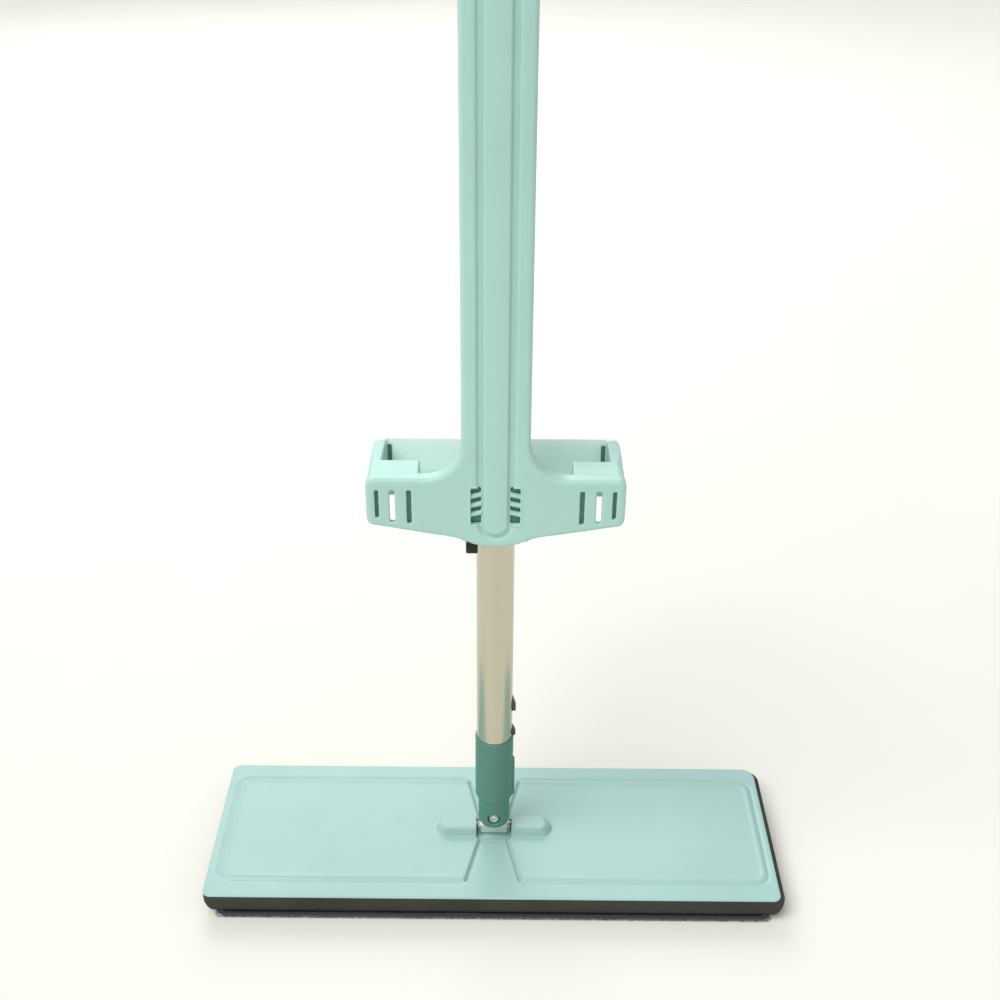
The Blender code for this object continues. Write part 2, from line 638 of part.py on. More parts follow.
def make_shell():
    shell = prism(channel_outline(), SLEEVE_BOTTOM, SLEEVE_TOP, "Z")
    join(shell, prism(wing_outline(), SLEEVE_FRONT + STEP / 2, SLEEVE_FRONT + WING_WALL, "Y"))
    for side in (-1, 1):
        block = prism(block_outline(0.0), *side_span(side, BLOCK_INNER, POST_INNER + SINK), "X")
        hollow = side_span(side, BLOCK_INNER + BLOCK_WALL, POST_INNER - SINK / 2)
        cut(block, prism(block_outline(BLOCK_WALL), *hollow, "X"))
        join(shell, block, prism(post_outline(), *side_span(side, POST_INNER, WING_HALF - STEP), "X"))

    # The recess that the spine lies in, and the ribbed windows beside its lower end
    floor = SLEEVE_FRONT + RECESS_DEPTH
    recess = (arc((0, SPINE_BOTTOM + SPINE_HALF), RECESS_FOOT_R, 180, 360, 12)
              + [(RECESS_HALF, RECESS_SHOULDER), (RECESS_HALF, SLEEVE_TOP + PAST),
                 (-RECESS_HALF, SLEEVE_TOP + PAST), (-RECESS_HALF, RECESS_SHOULDER)])
    cut(shell, prism(recess, SLEEVE_FRONT - PAST, floor, "Y"))
    wall_back = SLEEVE_FRONT + SLEEVE_FRONT_WALL
    for side in (-1, 1):
        for row in range(WINDOW_ROWS):
            z = WINDOW_BOTTOM + row * WINDOW_PITCH
            low, high = side_span(side, *WINDOW)
            cut(shell, box((low, SLEEVE_FRONT - PAST, z), (high, wall_back + PAST, z + WINDOW_HEIGHT)))
        for x, width, bottom in WING_SLOTS:
            low, high = side_span(side, x - width / 2, x + width / 2)
            cut(shell, box((low, SLEEVE_FRONT - PAST, bottom),
                           (high, SLEEVE_FRONT + WING_SLOT_DEPTH, WING_SLOT_TOP)))
        x, width, bottom = WING_SLOTS[1]
        half = width / 2 + BLOCK_SLOT_MARGIN
        low, high = side_span(side, x - half, x + half)
        cut(shell, box((low, BLOCK_REAR - BLOCK_SLOT_DEPTH, WING_END_BOTTOM - PAST),
                       (high, BLOCK_REAR + PAST, bottom)))
        for z in FRAME_SCREW_ZS:
            cut(shell, screw_hole(side * FRAME_SCREW_X, z, POST_REAR, POST_REAR, FRAME_SCREW))
    piece(shell, "sleeve_shell", "mint", "sleeve")

    spine = (arc((0, SPINE_BOTTOM + SPINE_HALF), SPINE_HALF, 180, 360, 12)
             + [(SPINE_HALF, SLEEVE_TOP), (-SPINE_HALF, SLEEVE_TOP)])
    spine = prism(spine, SLEEVE_FRONT - SPINE_PROUD, floor - GAP, "Y")
    piece(spine, "centre_spine", "mint", "sleeve")


def screw_hole(x, z, parting_y, past_y, size):
    """The hole for a screw along Y, from below its tip to past the outer face."""
    shank_r, depth = size[0], size[4]
    return rod((x, parting_y - depth - HOLE_SPARE, z), (x, past_y + PAST, z), shank_r + GAP, SCREW_ROUND)


def make_screw(name, x, z, parting_y, head_y, size):
    """A screw along Y: a shank, and a head that narrows to its face."""
    shank_r, head_r, face_r, head_height, depth = size
    screw = rod((x, parting_y - depth, z), (x, head_y + SCREW_SINK, z), shank_r, SCREW_ROUND)
    join(screw, rod((x, head_y, z), (x, head_y + head_height, z), head_r, AXLE_ROUND, face_r))
    piece(screw, name, "zinc_steel", "sleeve")


def make_rear_frame():
    outline = [(FRAME_FRONT, FRAME_SHELF[0]), (FRAME_FRONT, FRAME_TOP), (FRAME_WALL_REAR, FRAME_TOP),
               (FRAME_WALL_REAR, FRAME_SLOPE[1]), (FRAME_REAR, FRAME_SLOPE[0]),
               (FRAME_REAR, FRAME_BOTTOM), (FRAME_POCKET_REAR, FRAME_BOTTOM),
               (FRAME_POCKET_REAR, FRAME_SHELF[0])]
    frame = prism(outline, -WING_HALF, WING_HALF, "X")
    for side in (-1, 1):
        low, high = side_span(side, CHEEK_INNER, WING_HALF)
        join(frame, box((low, FRAME_FRONT, FRAME_BOTTOM),
                        (high, FRAME_POCKET_REAR + SINK, FRAME_SHELF[0] + SINK)))
        cut(frame, rod((side * (CHEEK_INNER - PAST), ROLLER_Y, ROLLER_Z),
                       (side * (AXLE_HALF + GAP), ROLLER_Y, ROLLER_Z), AXLE_R + GAP, AXLE_ROUND))
        low, high = side_span(side, *FRAME_SLOT_X)
        cut(frame, box((low, FRAME_FRONT - PAST, FRAME_SLOT_Z[0]),
                       (high, FRAME_WALL_REAR + PAST, FRAME_SLOT_Z[1])))
        for z in FRAME_SCREW_ZS:
            cut(frame, screw_hole(side * FRAME_SCREW_X, z, POST_REAR, FRAME_REAR, FRAME_SCREW))
    piece(frame, "rear_frame", "mint", "sleeve")

    number = 1
    for side in (-1, 1):
        for z in FRAME_SCREW_ZS:
            make_screw(f"frame_screw_{number}", side * FRAME_SCREW_X, z, POST_REAR,
                       FRAME_WALL_REAR + GAP, FRAME_SCREW)
            number += 1

    axle = rod((-AXLE_HALF, ROLLER_Y, ROLLER_Z), (AXLE_HALF, ROLLER_Y, ROLLER_Z), AXLE_R, AXLE_ROUND)
    piece(axle, "roller_axle", "zinc_steel", "sleeve")
    roller = rod((-ROLLER_HALF, ROLLER_Y, ROLLER_Z), (ROLLER_HALF, ROLLER_Y, ROLLER_Z), ROLLER_R, PIN_ROUND)
    past = ROLLER_HALF + PAST
    cut(roller, rod((-past, ROLLER_Y, ROLLER_Z), (past, ROLLER_Y, ROLLER_Z), AXLE_R + GAP, AXLE_ROUND))
    piece(roller, "squeeze_roller", "roller", "roller")


def make_guides():
    """The collar grips the pole; a guide above and below it carries the sleeve on it."""
    low, high = COLLAR
    waist = COLLAR_BAND + COLLAR_STEP
    collar = turned([(COLLAR_BORE_R, high), (COLLAR_R, high), (COLLAR_R, high - COLLAR_BAND),
                     (COLLAR_WAIST_R, high - waist), (COLLAR_WAIST_R, low + waist),
                     (COLLAR_R, low + COLLAR_BAND), (COLLAR_R, low), (COLLAR_BORE_R, low)])
    piece(collar, "slide_collar", "black", "collar")

    spans = {"guide_lower": (low - GAP - GUIDE_LENGTH, low - GAP),
             "guide_upper": (high + GAP, high + GAP + GUIDE_LENGTH)}
    front = SLEEVE_FRONT + SLEEVE_FRONT_WALL + GAP
    cover = box((-SLEEVE_HALF, SLEEVE_REAR + GAP, COVER_BOTTOM),
                (SLEEVE_HALF, SLEEVE_REAR + GAP + COVER_THICKNESS, SLEEVE_TOP))
    bevel(cover, COVER_BEVEL, 1)
    number = 1
    for name, (bottom, top) in spans.items():
        guide = box((-GUIDE_HALF, front, bottom), (GUIDE_HALF, SLEEVE_REAR, top))
        cut(guide, rod((0, 0, bottom - PAST), (0, 0, top + PAST), GUIDE_BORE_R))
        z = (bottom + top) / 2
        for side in (-1, 1):
            x = side * COVER_SCREW_X
            cover_rear = SLEEVE_REAR + GAP + COVER_THICKNESS
            cut(guide, screw_hole(x, z, SLEEVE_REAR, cover_rear, COVER_SCREW))
            cut(cover, screw_hole(x, z, SLEEVE_REAR, cover_rear, COVER_SCREW))
            make_screw(f"cover_screw_{number}", x, z, SLEEVE_REAR, cover_rear + GAP, COVER_SCREW)
            number += 1
        piece(guide, name, "black", "sleeve")
    piece(cover, "back_cover", "mint", "sleeve")

    low = SLEEVE_TOP + GAP
    high = low + SLEEVE_CAP_HEIGHT
    cap_outline = rounded_rectangle((-SLEEVE_HALF, SLEEVE_FRONT),
                                    (SLEEVE_HALF, SLEEVE_REAR + GAP + COVER_THICKNESS), SLEEVE_CORNER_R)
    cap = bevel_level(prism(cap_outline, low, high, "Z"), high, SLEEVE_CAP_CHAMFER)
    cut(cap, rod((0, 0, low - PAST), (0, 0, high + PAST), GUIDE_BORE_R))
    piece(cap, "sleeve_cap", "teal", "sleeve")


def make_lock():
    """A sprung push tab beside the pole, under the wringer's chin."""
    button = box((LOCK_X[0], LOCK_Y[0], LOCK_Z[0]), (LOCK_X[1], LOCK_Y[1], LOCK_Z[1]))
    bevel(button, LOCK_BEVEL, 1)
    piece(button, "lock_button", "black", "lock")

    data = bpy.data.curves.new("spring", "CURVE")
    data.dimensions = "3D"
    data.bevel_depth = LOCK_WIRE_R
    data.bevel_resolution = 1
    data.use_fill_caps = True
    steps = LOCK_TURNS * LOCK_TURN_POINTS
    spline = data.splines.new("POLY")
    spline.points.add(steps)
    low = LOCK_Z[1] + GAP + LOCK_WIRE_R
    for index, point in enumerate(spline.points):
        angle = math.tau * index / LOCK_TURN_POINTS
        z = low + (LOCK_SPRING_TOP - low) * index / steps
        point.co = (LOCK_AXIS.x + LOCK_SPRING_R * math.cos(angle),
                    LOCK_AXIS.y + LOCK_SPRING_R * math.sin(angle), z, 1.0)
    coil = bpy.data.objects.new("spring", data)
    PARTS.objects.link(coil)
    piece(mesh_from_curve(coil), "lock_spring", "zinc_steel", "sleeve")

    stop = box((LOCK_X[0], LOCK_Y[0], LOCK_SPRING_TOP + LOCK_WIRE_R + GAP),
               (LOCK_X[1], LOCK_Y[1], LOCK_SEAT_TOP))
    piece(stop, "spring_seat", "mint", "sleeve")


def make_bodies():
    """One empty for each moving body, on its joint's axis."""
    places = {
        "head": (0.0, 0.0, 0.0),
        "yoke": (0.0, 0.0, PIN_Z),
        "pole": (0.0, 0.0, RIVET_Z),
        "collar": (0.0, 0.0, (COLLAR[0] + COLLAR[1]) / 2),
        "sleeve": (0.0, 0.0, (COLLAR[0] + COLLAR[1]) / 2),
        "roller": (0.0, ROLLER_Y, ROLLER_Z),
        "lock": (LOCK_AXIS.x, LOCK_AXIS.y, LOCK_Z[1]),
    }
    made = {}
    for name, place in places.items():
        empty = bpy.data.objects.new(f"{name}_axis", None)
        empty.location = place
        PARTS.objects.link(empty)
        made[name] = empty
    bpy.context.view_layer.update()
    return made


clear_scene()
PARTS = new_collection("flat_wringer_mop")
CUTTERS = new_collection("cutters")
MATERIALS = make_materials()
BODIES = make_bodies()
make_head()
make_yoke()
make_pole()
make_shell()
make_rear_frame()
make_guides()
make_lock()
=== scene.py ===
import math

import bmesh
import bpy
import numpy as np
from mathutils import Matrix, Vector


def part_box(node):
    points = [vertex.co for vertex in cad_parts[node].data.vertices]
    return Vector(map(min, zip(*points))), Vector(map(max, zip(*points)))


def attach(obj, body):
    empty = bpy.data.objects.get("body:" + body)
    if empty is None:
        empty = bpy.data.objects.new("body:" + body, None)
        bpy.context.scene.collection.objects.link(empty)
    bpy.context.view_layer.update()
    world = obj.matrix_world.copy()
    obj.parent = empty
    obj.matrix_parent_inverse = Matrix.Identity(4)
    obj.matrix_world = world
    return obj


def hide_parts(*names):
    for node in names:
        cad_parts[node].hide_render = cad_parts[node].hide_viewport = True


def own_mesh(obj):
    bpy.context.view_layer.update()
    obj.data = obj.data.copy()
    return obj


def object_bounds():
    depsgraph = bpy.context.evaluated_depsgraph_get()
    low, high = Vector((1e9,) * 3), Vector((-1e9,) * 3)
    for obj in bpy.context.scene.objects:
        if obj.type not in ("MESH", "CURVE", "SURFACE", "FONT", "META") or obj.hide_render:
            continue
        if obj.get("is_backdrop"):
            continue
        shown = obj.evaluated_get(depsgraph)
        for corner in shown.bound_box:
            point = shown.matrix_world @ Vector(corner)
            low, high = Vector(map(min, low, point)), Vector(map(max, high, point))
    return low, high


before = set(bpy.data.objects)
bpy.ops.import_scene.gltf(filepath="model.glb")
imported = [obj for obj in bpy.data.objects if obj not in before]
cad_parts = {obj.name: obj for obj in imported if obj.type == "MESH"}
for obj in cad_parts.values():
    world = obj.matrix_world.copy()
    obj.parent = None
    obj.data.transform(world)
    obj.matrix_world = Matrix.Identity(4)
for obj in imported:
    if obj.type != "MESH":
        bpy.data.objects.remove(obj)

# The looks of a flat wringer mop. Shapes are worked out in millimetres, in the frame's
# axes (+X along the head, +Y to the rear, +Z up), and scaled to metres as meshes.

MM = 0.001


def write_size(stage, sizes={}):
    low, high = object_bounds()
    sizes[stage] = [list(low), list(high)]


write_size("cad")


def box_mm(node):
    low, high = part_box(node)
    return Vector(low) / MM, Vector(high) / MM


# ---- places from the frame

PLATE_LOW, PLATE_HIGH = box_mm("plate_cover")
FOAM_LOW, FOAM_HIGH = box_mm("foam_base")
PIN_LOW, PIN_HIGH = box_mm("pivot_pin")
SHELL_LOW, SHELL_HIGH = box_mm("sleeve_shell")
SPINE_LOW, SPINE_HIGH = box_mm("centre_spine")
REAR_LOW, REAR_HIGH = box_mm("rear_frame")
CONNECTOR_LOW, CONNECTOR_HIGH = box_mm("socket_connector")
TUBE_LOW, TUBE_HIGH = box_mm("tube_lower")
UPPER_LOW, UPPER_HIGH = box_mm("tube_upper")
JOINT_LOW, JOINT_HIGH = box_mm("tube_joint")
GRIP_LOW, GRIP_HIGH = box_mm("hand_grip")
CAP_LOW, CAP_HIGH = box_mm("end_cap")
COLLAR_LOW, COLLAR_HIGH = box_mm("slide_collar")
COVER_LOW, COVER_HIGH = box_mm("back_cover")
LID_LOW, LID_HIGH = box_mm("sleeve_cap")
BUTTON_LOW, BUTTON_HIGH = box_mm("lock_button")
SPRING_LOW, SPRING_HIGH = box_mm("lock_spring")
BRACKET_HIGH = box_mm("yoke_bracket")[1]
ROLLER_LOW, ROLLER_HIGH = box_mm("squeeze_roller")
RIVET_LOW, RIVET_HIGH = box_mm("clevis_rivet")

ROLLER_MIDDLE = (ROLLER_LOW + ROLLER_HIGH) / 2
AXLE_BORE = 1.8
# The lowest and highest z of the two snap barbs
BARBS = ((98.8, 105.5), (118.0, 128.2))
PIN_Z = (PIN_LOW.z + PIN_HIGH.z) / 2
RIVET_Z = (RIVET_LOW.z + RIVET_HIGH.z) / 2
TUBE_R = TUBE_HIGH.x
SLEEVE_HALF = COVER_HIGH.x
SLEEVE_FRONT = SHELL_LOW.y
SLEEVE_TOP = SHELL_HIGH.z


# ---- camera, light and floor

CAMERA_PLACE = Vector((3.5, -655.4, 652.7)) * MM
CAMERA_PITCH = math.radians(30.45)
CAMERA_YAW = math.radians(-0.10)
CAMERA_ROLL = math.radians(0.44)
SENSOR_WIDTH = 36.0
FOCAL_IN_IMAGE_WIDTHS = 1.3562


def make_camera():
    data = bpy.data.cameras.new("camera")
    data.sensor_width = SENSOR_WIDTH
    data.lens = SENSOR_WIDTH * FOCAL_IN_IMAGE_WIDTHS
    data.clip_start = 0.01
    camera = bpy.data.objects.new("camera", data)
    bpy.context.scene.collection.objects.link(camera)
    forward = Vector((math.sin(CAMERA_YAW) * math.cos(CAMERA_PITCH),
                      math.cos(CAMERA_YAW) * math.cos(CAMERA_PITCH), -math.sin(CAMERA_PITCH)))
    level = Vector((math.cos(CAMERA_YAW), -math.sin(CAMERA_YAW), 0.0))
    right = Matrix.Rotation(-CAMERA_ROLL, 3, forward) @ level
    up = right.cross(forward)
    turn = Matrix((right, up, -forward)).transposed()
    camera.matrix_world = Matrix.Translation(CAMERA_PLACE) @ turn.to_4x4()
    bpy.context.scene.camera = camera


def area_light(name, place, target, size, power, colour=(1.0, 1.0, 1.0)):
    data = bpy.data.lights.new(name, "AREA")
    data.shape = "DISK"
    data.size = size
    data.energy = power
    data.color = colour
    light = bpy.data.objects.new(name, data)
    bpy.context.scene.collection.objects.link(light)
    place, target = Vector(place), Vector(target)
    turn = (target - place).to_track_quat("-Z", "Y").to_matrix().to_4x4()
    light.matrix_world = Matrix.Translation(place) @ turn


SUN_POWER = 2.12
SUN_SPREAD = math.radians(42)
SUN_COLOUR = (1.0, 0.99, 0.965)
SUN_DIRECTION = Vector((-0.42, -0.36, 0.84))
SKY_COLOUR = (0.93, 0.945, 0.93, 1.0)
SKY_POWER = 0.50


def make_light():
    data = bpy.data.lights.new("window", "SUN")
    data.energy = SUN_POWER
    data.angle = SUN_SPREAD
    data.color = SUN_COLOUR
    sun = bpy.data.objects.new("window", data)
    bpy.context.scene.collection.objects.link(sun)
    sun.rotation_euler = SUN_DIRECTION.to_track_quat("Z", "Y").to_euler()
    area_light("fill", (2.0, -2.2, 1.4), (0.0, 0.0, 0.2), 2.4, 4.0, (0.96, 0.98, 1.0))
    area_light("rear", (-0.5, 2.2, 1.6), (0.0, 0.0, 0.3), 2.0, 26.0)
    world = bpy.data.worlds.new("studio")
    world.use_nodes = True
    background = world.node_tree.nodes["Background"]
    background.inputs["Color"].default_value = SKY_COLOUR
    background.inputs["Strength"].default_value = SKY_POWER
    bpy.context.scene.world = world
    bpy.context.scene.view_settings.view_transform = "Standard"


FLOOR_HALF = 30.0


def make_floor(material):
    bm = bmesh.new()
    bmesh.ops.create_grid(bm, x_segments=1, y_segments=1, size=FLOOR_HALF)
    mesh = bpy.data.meshes.new("floor")
    bm.to_mesh(mesh)
    bm.free()
    floor = bpy.data.objects.new("floor", mesh)
    bpy.context.scene.collection.objects.link(floor)
    mesh.materials.append(material)
    floor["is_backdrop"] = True


# ---- materials

class Nodes:
    """A small helper that wires one material's nodes."""

    def __init__(self, name, roughness=0.5, metallic=0.0, **sockets):
        self.material = bpy.data.materials.new(name)
        self.material.use_nodes = True
        self.tree = self.material.node_tree
        self.shader = self.tree.nodes["Principled BSDF"]
        self.shader.inputs["Roughness"].default_value = roughness
        self.shader.inputs["Metallic"].default_value = metallic
        for key, value in sockets.items():
            self.shader.inputs[key.replace("_", " ")].default_value = value
        self.coords = self.add("ShaderNodeTexCoord").outputs["Object"]
        self.height = None

    def add(self, kind, **values):
        node = self.tree.nodes.new(kind)
        for key, value in values.items():
            setattr(node, key, value)
        return node

    def link(self, source, target):
        self.tree.links.new(source, target)

    def scaled(self, scale):
        """The object's coordinates, stretched; a larger number gives finer detail."""
        node = self.add("ShaderNodeMapping")
        node.inputs["Scale"].default_value = scale
        self.link(self.coords, node.inputs["Vector"])
        return node.outputs["Vector"]

    def noise(self, scale, detail=3.0, roughness=0.55, stretch=None):
        node = self.add("ShaderNodeTexNoise")
        node.inputs["Scale"].default_value = scale
        node.inputs["Detail"].default_value = detail
        node.inputs["Roughness"].default_value = roughness
        self.link(self.scaled(stretch) if stretch else self.coords, node.inputs["Vector"])
        return node.outputs["Fac"]

    def voronoi(self, scale, feature="F1", stretch=None):
        node = self.add("ShaderNodeTexVoronoi", feature=feature)
        node.inputs["Scale"].default_value = scale
        self.link(self.scaled(stretch) if stretch else self.coords, node.inputs["Vector"])
        return node.outputs["Distance"]

    def wave(self, scale, direction, distortion=0.0):
        node = self.add("ShaderNodeTexWave", wave_type="BANDS", bands_direction=direction)
        node.inputs["Scale"].default_value = scale
        node.inputs["Distortion"].default_value = distortion
        self.link(self.coords, node.inputs["Vector"])
        return node.outputs["Fac"]

    def remap(self, value, low, high, to_low, to_high):
        node = self.add("ShaderNodeMapRange")
        for key, number in (("From Min", low), ("From Max", high), ("To Min", to_low), ("To Max", to_high)):
            node.inputs[key].default_value = number
        self.link(value, node.inputs["Value"])
        return node.outputs["Result"]

    def math(self, operation, first, second):
        node = self.add("ShaderNodeMath", operation=operation)
        for socket, value in zip(node.inputs, (first, second)):
            if isinstance(value, (int, float)):
                socket.default_value = value
            else:
                self.link(value, socket)
        return node.outputs["Value"]

    def colours(self, factor, stops):
        node = self.add("ShaderNodeValToRGB")
        ramp = node.color_ramp
        while len(ramp.elements) < len(stops):
            ramp.elements.new(0.5)
        for element, (position, colour) in zip(ramp.elements, stops):
            element.position = position
            element.color = (*colour, 1.0)
        self.link(factor, node.inputs["Fac"])
        return node.outputs["Color"]

    def shades(self, factor, colour, *stops):
        """The colour made lighter or darker along the factor, by (position, share) stops."""
        return self.colours(factor, [(position, shade(colour, share)) for position, share in stops])

    def mix(self, factor, first, second):
        node = self.add("ShaderNodeMix", data_type="RGBA")
        self.link(factor, node.inputs["Factor"])
        for socket, value in ((node.inputs["A"], first), (node.inputs["B"], second)):
            if isinstance(value, tuple):
                socket.default_value = (*value, 1.0)
            else:
                self.link(value, socket)
        return node.outputs["Result"]

    def base(self, colour):
        self.link(colour, self.shader.inputs["Base Color"])

    def rough(self, value):
        self.link(value, self.shader.inputs["Roughness"])

    def bump(self, height, strength, distance):
        node = self.add("ShaderNodeBump")
        node.inputs["Strength"].default_value = strength
        node.inputs["Distance"].default_value = distance
        self.link(height, node.inputs["Height"])
        if self.height is not None:
            self.link(self.height, node.inputs["Normal"])
        self.height = node.outputs["Normal"]
        self.link(self.height, self.shader.inputs["Normal"])


def shade(colour, factor):
    return tuple(channel * factor for channel in colour)


def moulded_plastic(name, colour, roughness=0.36, grain=0.35, glow=0.0):
    """Injection-moulded plastic: faint colour clouds, fine texture and a painted highlight that makes convex
    edges paler.

    glow is how far light passes through a thin wall.
    """
    nodes = Nodes(name, roughness, Specular_IOR_Level=0.45, Subsurface_Weight=glow, Subsurface_Scale=0.006,
                  Subsurface_Radius=(1.0, 1.2, 1.1))
    clouds = nodes.noise(14.0, 3.0)
    tint = nodes.shades(clouds, colour, (0.30, 0.965), (0.70, 1.03))
    edge = nodes.add("ShaderNodeNewGeometry").outputs["Pointiness"]
    # Painted highlight: convex edges, found by pointiness, are mixed towards a paler colour.
    edge_highlight = nodes.remap(edge, 0.53, 0.62, 0.0, 0.30)
    pale = tuple(0.55 * channel + 0.45 * max(colour) for channel in colour)
    nodes.base(nodes.mix(edge_highlight, tint, shade(pale, 1.12)))
    nodes.rough(nodes.remap(nodes.noise(60.0, 4.0), 0.3, 0.7, roughness - 0.05, roughness + 0.07))
    nodes.bump(nodes.noise(2600.0, 2.0), grain, 0.00004)
    nodes.bump(nodes.noise(35.0, 2.0), 0.10, 0.0006)
    return nodes.material


def drawn_steel(name, colour, roughness=0.22):
    """Thin drawn tube: long fine streaks along Z, with faint smudges."""
    nodes = Nodes(name, roughness, 1.0, Anisotropic=0.45)
    streaks = nodes.noise(1.0, 3.0, 0.6, (2600.0, 2600.0, 14.0))
    smudge = nodes.noise(22.0, 3.0)
    streak_colour = nodes.shades(streaks, colour, (0.25, 0.96), (0.75, 1.03))
    nodes.base(nodes.mix(nodes.remap(smudge, 0.35, 0.75, 0.0, 0.20), streak_colour, shade(colour, 0.92)))
    nodes.rough(nodes.remap(streaks, 0.2, 0.8, roughness - 0.05, roughness + 0.08))
    nodes.bump(streaks, 0.06, 0.00002)
    return nodes.material


def plated_steel(name, colour, roughness=0.30):
    nodes = Nodes(name, roughness, 1.0)
    patches = nodes.voronoi(420.0)
    nodes.base(nodes.shades(patches, colour, (0.0, 0.90), (1.0, 1.05)))
    nodes.rough(nodes.remap(nodes.noise(90.0), 0.3, 0.7, roughness - 0.07, roughness + 0.12))
    nodes.bump(nodes.noise(900.0, 3.0), 0.15, 0.00004)
    return nodes.material


def closed_cell_foam():
    colour = (0.042, 0.043, 0.034)
    nodes = Nodes("closed_cell_foam", 0.78, Specular_IOR_Level=0.30)
    cells = nodes.voronoi(1500.0)
    tone = nodes.noise(28.0, 4.0)
    nodes.base(nodes.shades(tone, colour, (0.30, 0.82), (0.72, 1.22)))
    nodes.rough(nodes.remap(cells, 0.0, 0.8, 0.88, 0.70))
    nodes.bump(cells, 0.35, 0.00015)
    nodes.bump(nodes.noise(160.0, 3.0), 0.25, 0.0003)
    return nodes.material


def microfibre():
    """Short looped pile: pale tips over a darker root, the darker root being painted shade deep among the
    loops.
    """
    root, tip = (0.010, 0.012, 0.015), (0.036, 0.041, 0.048)
    nodes = Nodes("microfibre", 0.95, Specular_IOR_Level=0.12, Sheen_Weight=0.10, Sheen_Roughness=0.5)
    loops = nodes.voronoi(720.0)
    fuzz = nodes.noise(1900.0, 3.0, 0.7)
    # Painted shade: the colour darkens from the loops' tips towards the gaps between them.
    crevice_shade = nodes.math("MULTIPLY", loops, nodes.remap(fuzz, 0.2, 0.8, 0.7, 1.3))
    nodes.base(nodes.colours(crevice_shade, [(0.10, tip), (0.75, root)]))
    nodes.bump(nodes.remap(loops, 0.0, 0.8, 1.0, 0.0), 0.8, 0.0006)
    nodes.bump(fuzz, 0.5, 0.0003)
    return nodes.material


def binding_tape():
    """The pad's sewn edge tape: a plain weave with a slight sheen."""
    nodes = Nodes("binding_tape", 0.80, Specular_IOR_Level=0.25, Sheen_Weight=0.25)
    weave = nodes.math("MULTIPLY", nodes.wave(420.0, "X"), nodes.wave(420.0, "Z"))
    nodes.base(nodes.colours(weave, [(0.0, (0.022, 0.024, 0.032)), (1.0, (0.060, 0.064, 0.080))]))
    nodes.bump(weave, 0.6, 0.0002)
    return nodes.material


def hook_tape():
    nodes = Nodes("hook_tape", 0.75, Specular_IOR_Level=0.3)
    hooks = nodes.voronoi(900.0)
    nodes.base(nodes.colours(hooks, [(0.0, (0.16, 0.16, 0.17)), (0.6, (0.04, 0.04, 0.045))]))
    nodes.bump(nodes.remap(hooks, 0.0, 0.5, 1.0, 0.0), 0.9, 0.0005)
    return nodes.material


def soft_grip(colour):
    nodes = Nodes("soft_grip", 0.72, Specular_IOR_Level=0.3)
    tone = nodes.noise(40.0, 4.0)
    nodes.base(nodes.shades(tone, colour, (0.3, 0.9), (0.7, 1.1)))
    nodes.bump(nodes.voronoi(1300.0), 0.3, 0.00012)
    nodes.rough(nodes.remap(tone, 0.3, 0.7, 0.66, 0.80))
    return nodes.material


def floor_material():
    nodes = Nodes("pale_floor", 0.55, Specular_IOR_Level=0.25)
    tone = nodes.noise(1.6, 4.0)
    nodes.base(nodes.colours(tone, [(0.3, (0.800, 0.800, 0.745)), (0.7, (0.835, 0.835, 0.780))]))
    nodes.rough(nodes.remap(nodes.noise(7.0), 0.3, 0.7, 0.50, 0.60))
    return nodes.material


MINT_RGB = (0.420, 0.680, 0.620)
# A paler copy of the mint for the rear bar: painted light for the bright light on its inner face.
REAR_PAINTED_LIGHT_RGB = (0.700, 0.870, 0.830)
PLATE_RGB = (0.352, 0.560, 0.525)
TEAL_RGB = (0.085, 0.235, 0.185)
MINT = moulded_plastic("mint_plastic", MINT_RGB)
# The rear bar's material uses that paler mint as painted light; glow lets light pass through its thin wall.
REAR_PAINTED_LIGHT_MINT = moulded_plastic("rear_mint_painted_light", REAR_PAINTED_LIGHT_RGB, 0.36, glow=0.50)
PLATE_MINT = moulded_plastic("plate_mint_plastic", PLATE_RGB, 0.33)
TEAL = moulded_plastic("teal_plastic", TEAL_RGB, 0.40)
DARK_TEAL = moulded_plastic("dark_teal_plastic", (0.040, 0.085, 0.075), 0.45)
BLACK = moulded_plastic("black_plastic", (0.012, 0.011, 0.010), 0.42)
ACETAL = moulded_plastic("pale_acetal", (0.68, 0.70, 0.67), 0.30)
STAINLESS = drawn_steel("drawn_stainless", (0.575, 0.540, 0.435))
ZINC = plated_steel("zinc_plate", (0.72, 0.73, 0.72))
# A paler, rougher copy of the zinc plate for the bracket: painted light for its brightly lit face.
PAINTED_LIGHT_ZINC = plated_steel("zinc_plate_painted_light", (0.86, 0.88, 0.87), 0.58)
FOAM = closed_cell_foam()
PILE = microfibre()
BINDING = binding_tape()
HOOKS = hook_tape()
GRIP = soft_grip(TEAL_RGB)


# ---- mesh helpers

def add_mesh(name, verts, faces, material, smooth=True, sharp=None):
    """verts in millimetres."""
    mesh = bpy.data.meshes.new(name)
    mesh.from_pydata([tuple(c * MM for c in v) for v in verts], [], faces)
    mesh.validate()
    mesh.materials.append(material)
    if smooth:
        mesh.shade_smooth()
    if sharp is not None:
        mesh.set_sharp_from_angle(angle=math.radians(sharp))
    obj = bpy.data.objects.new(name, mesh)
    bpy.context.scene.collection.objects.link(obj)
    return obj


def place(obj, body, nodes=(), slot=None):
    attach(obj, body)
    if nodes:
        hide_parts(*nodes)
    return obj


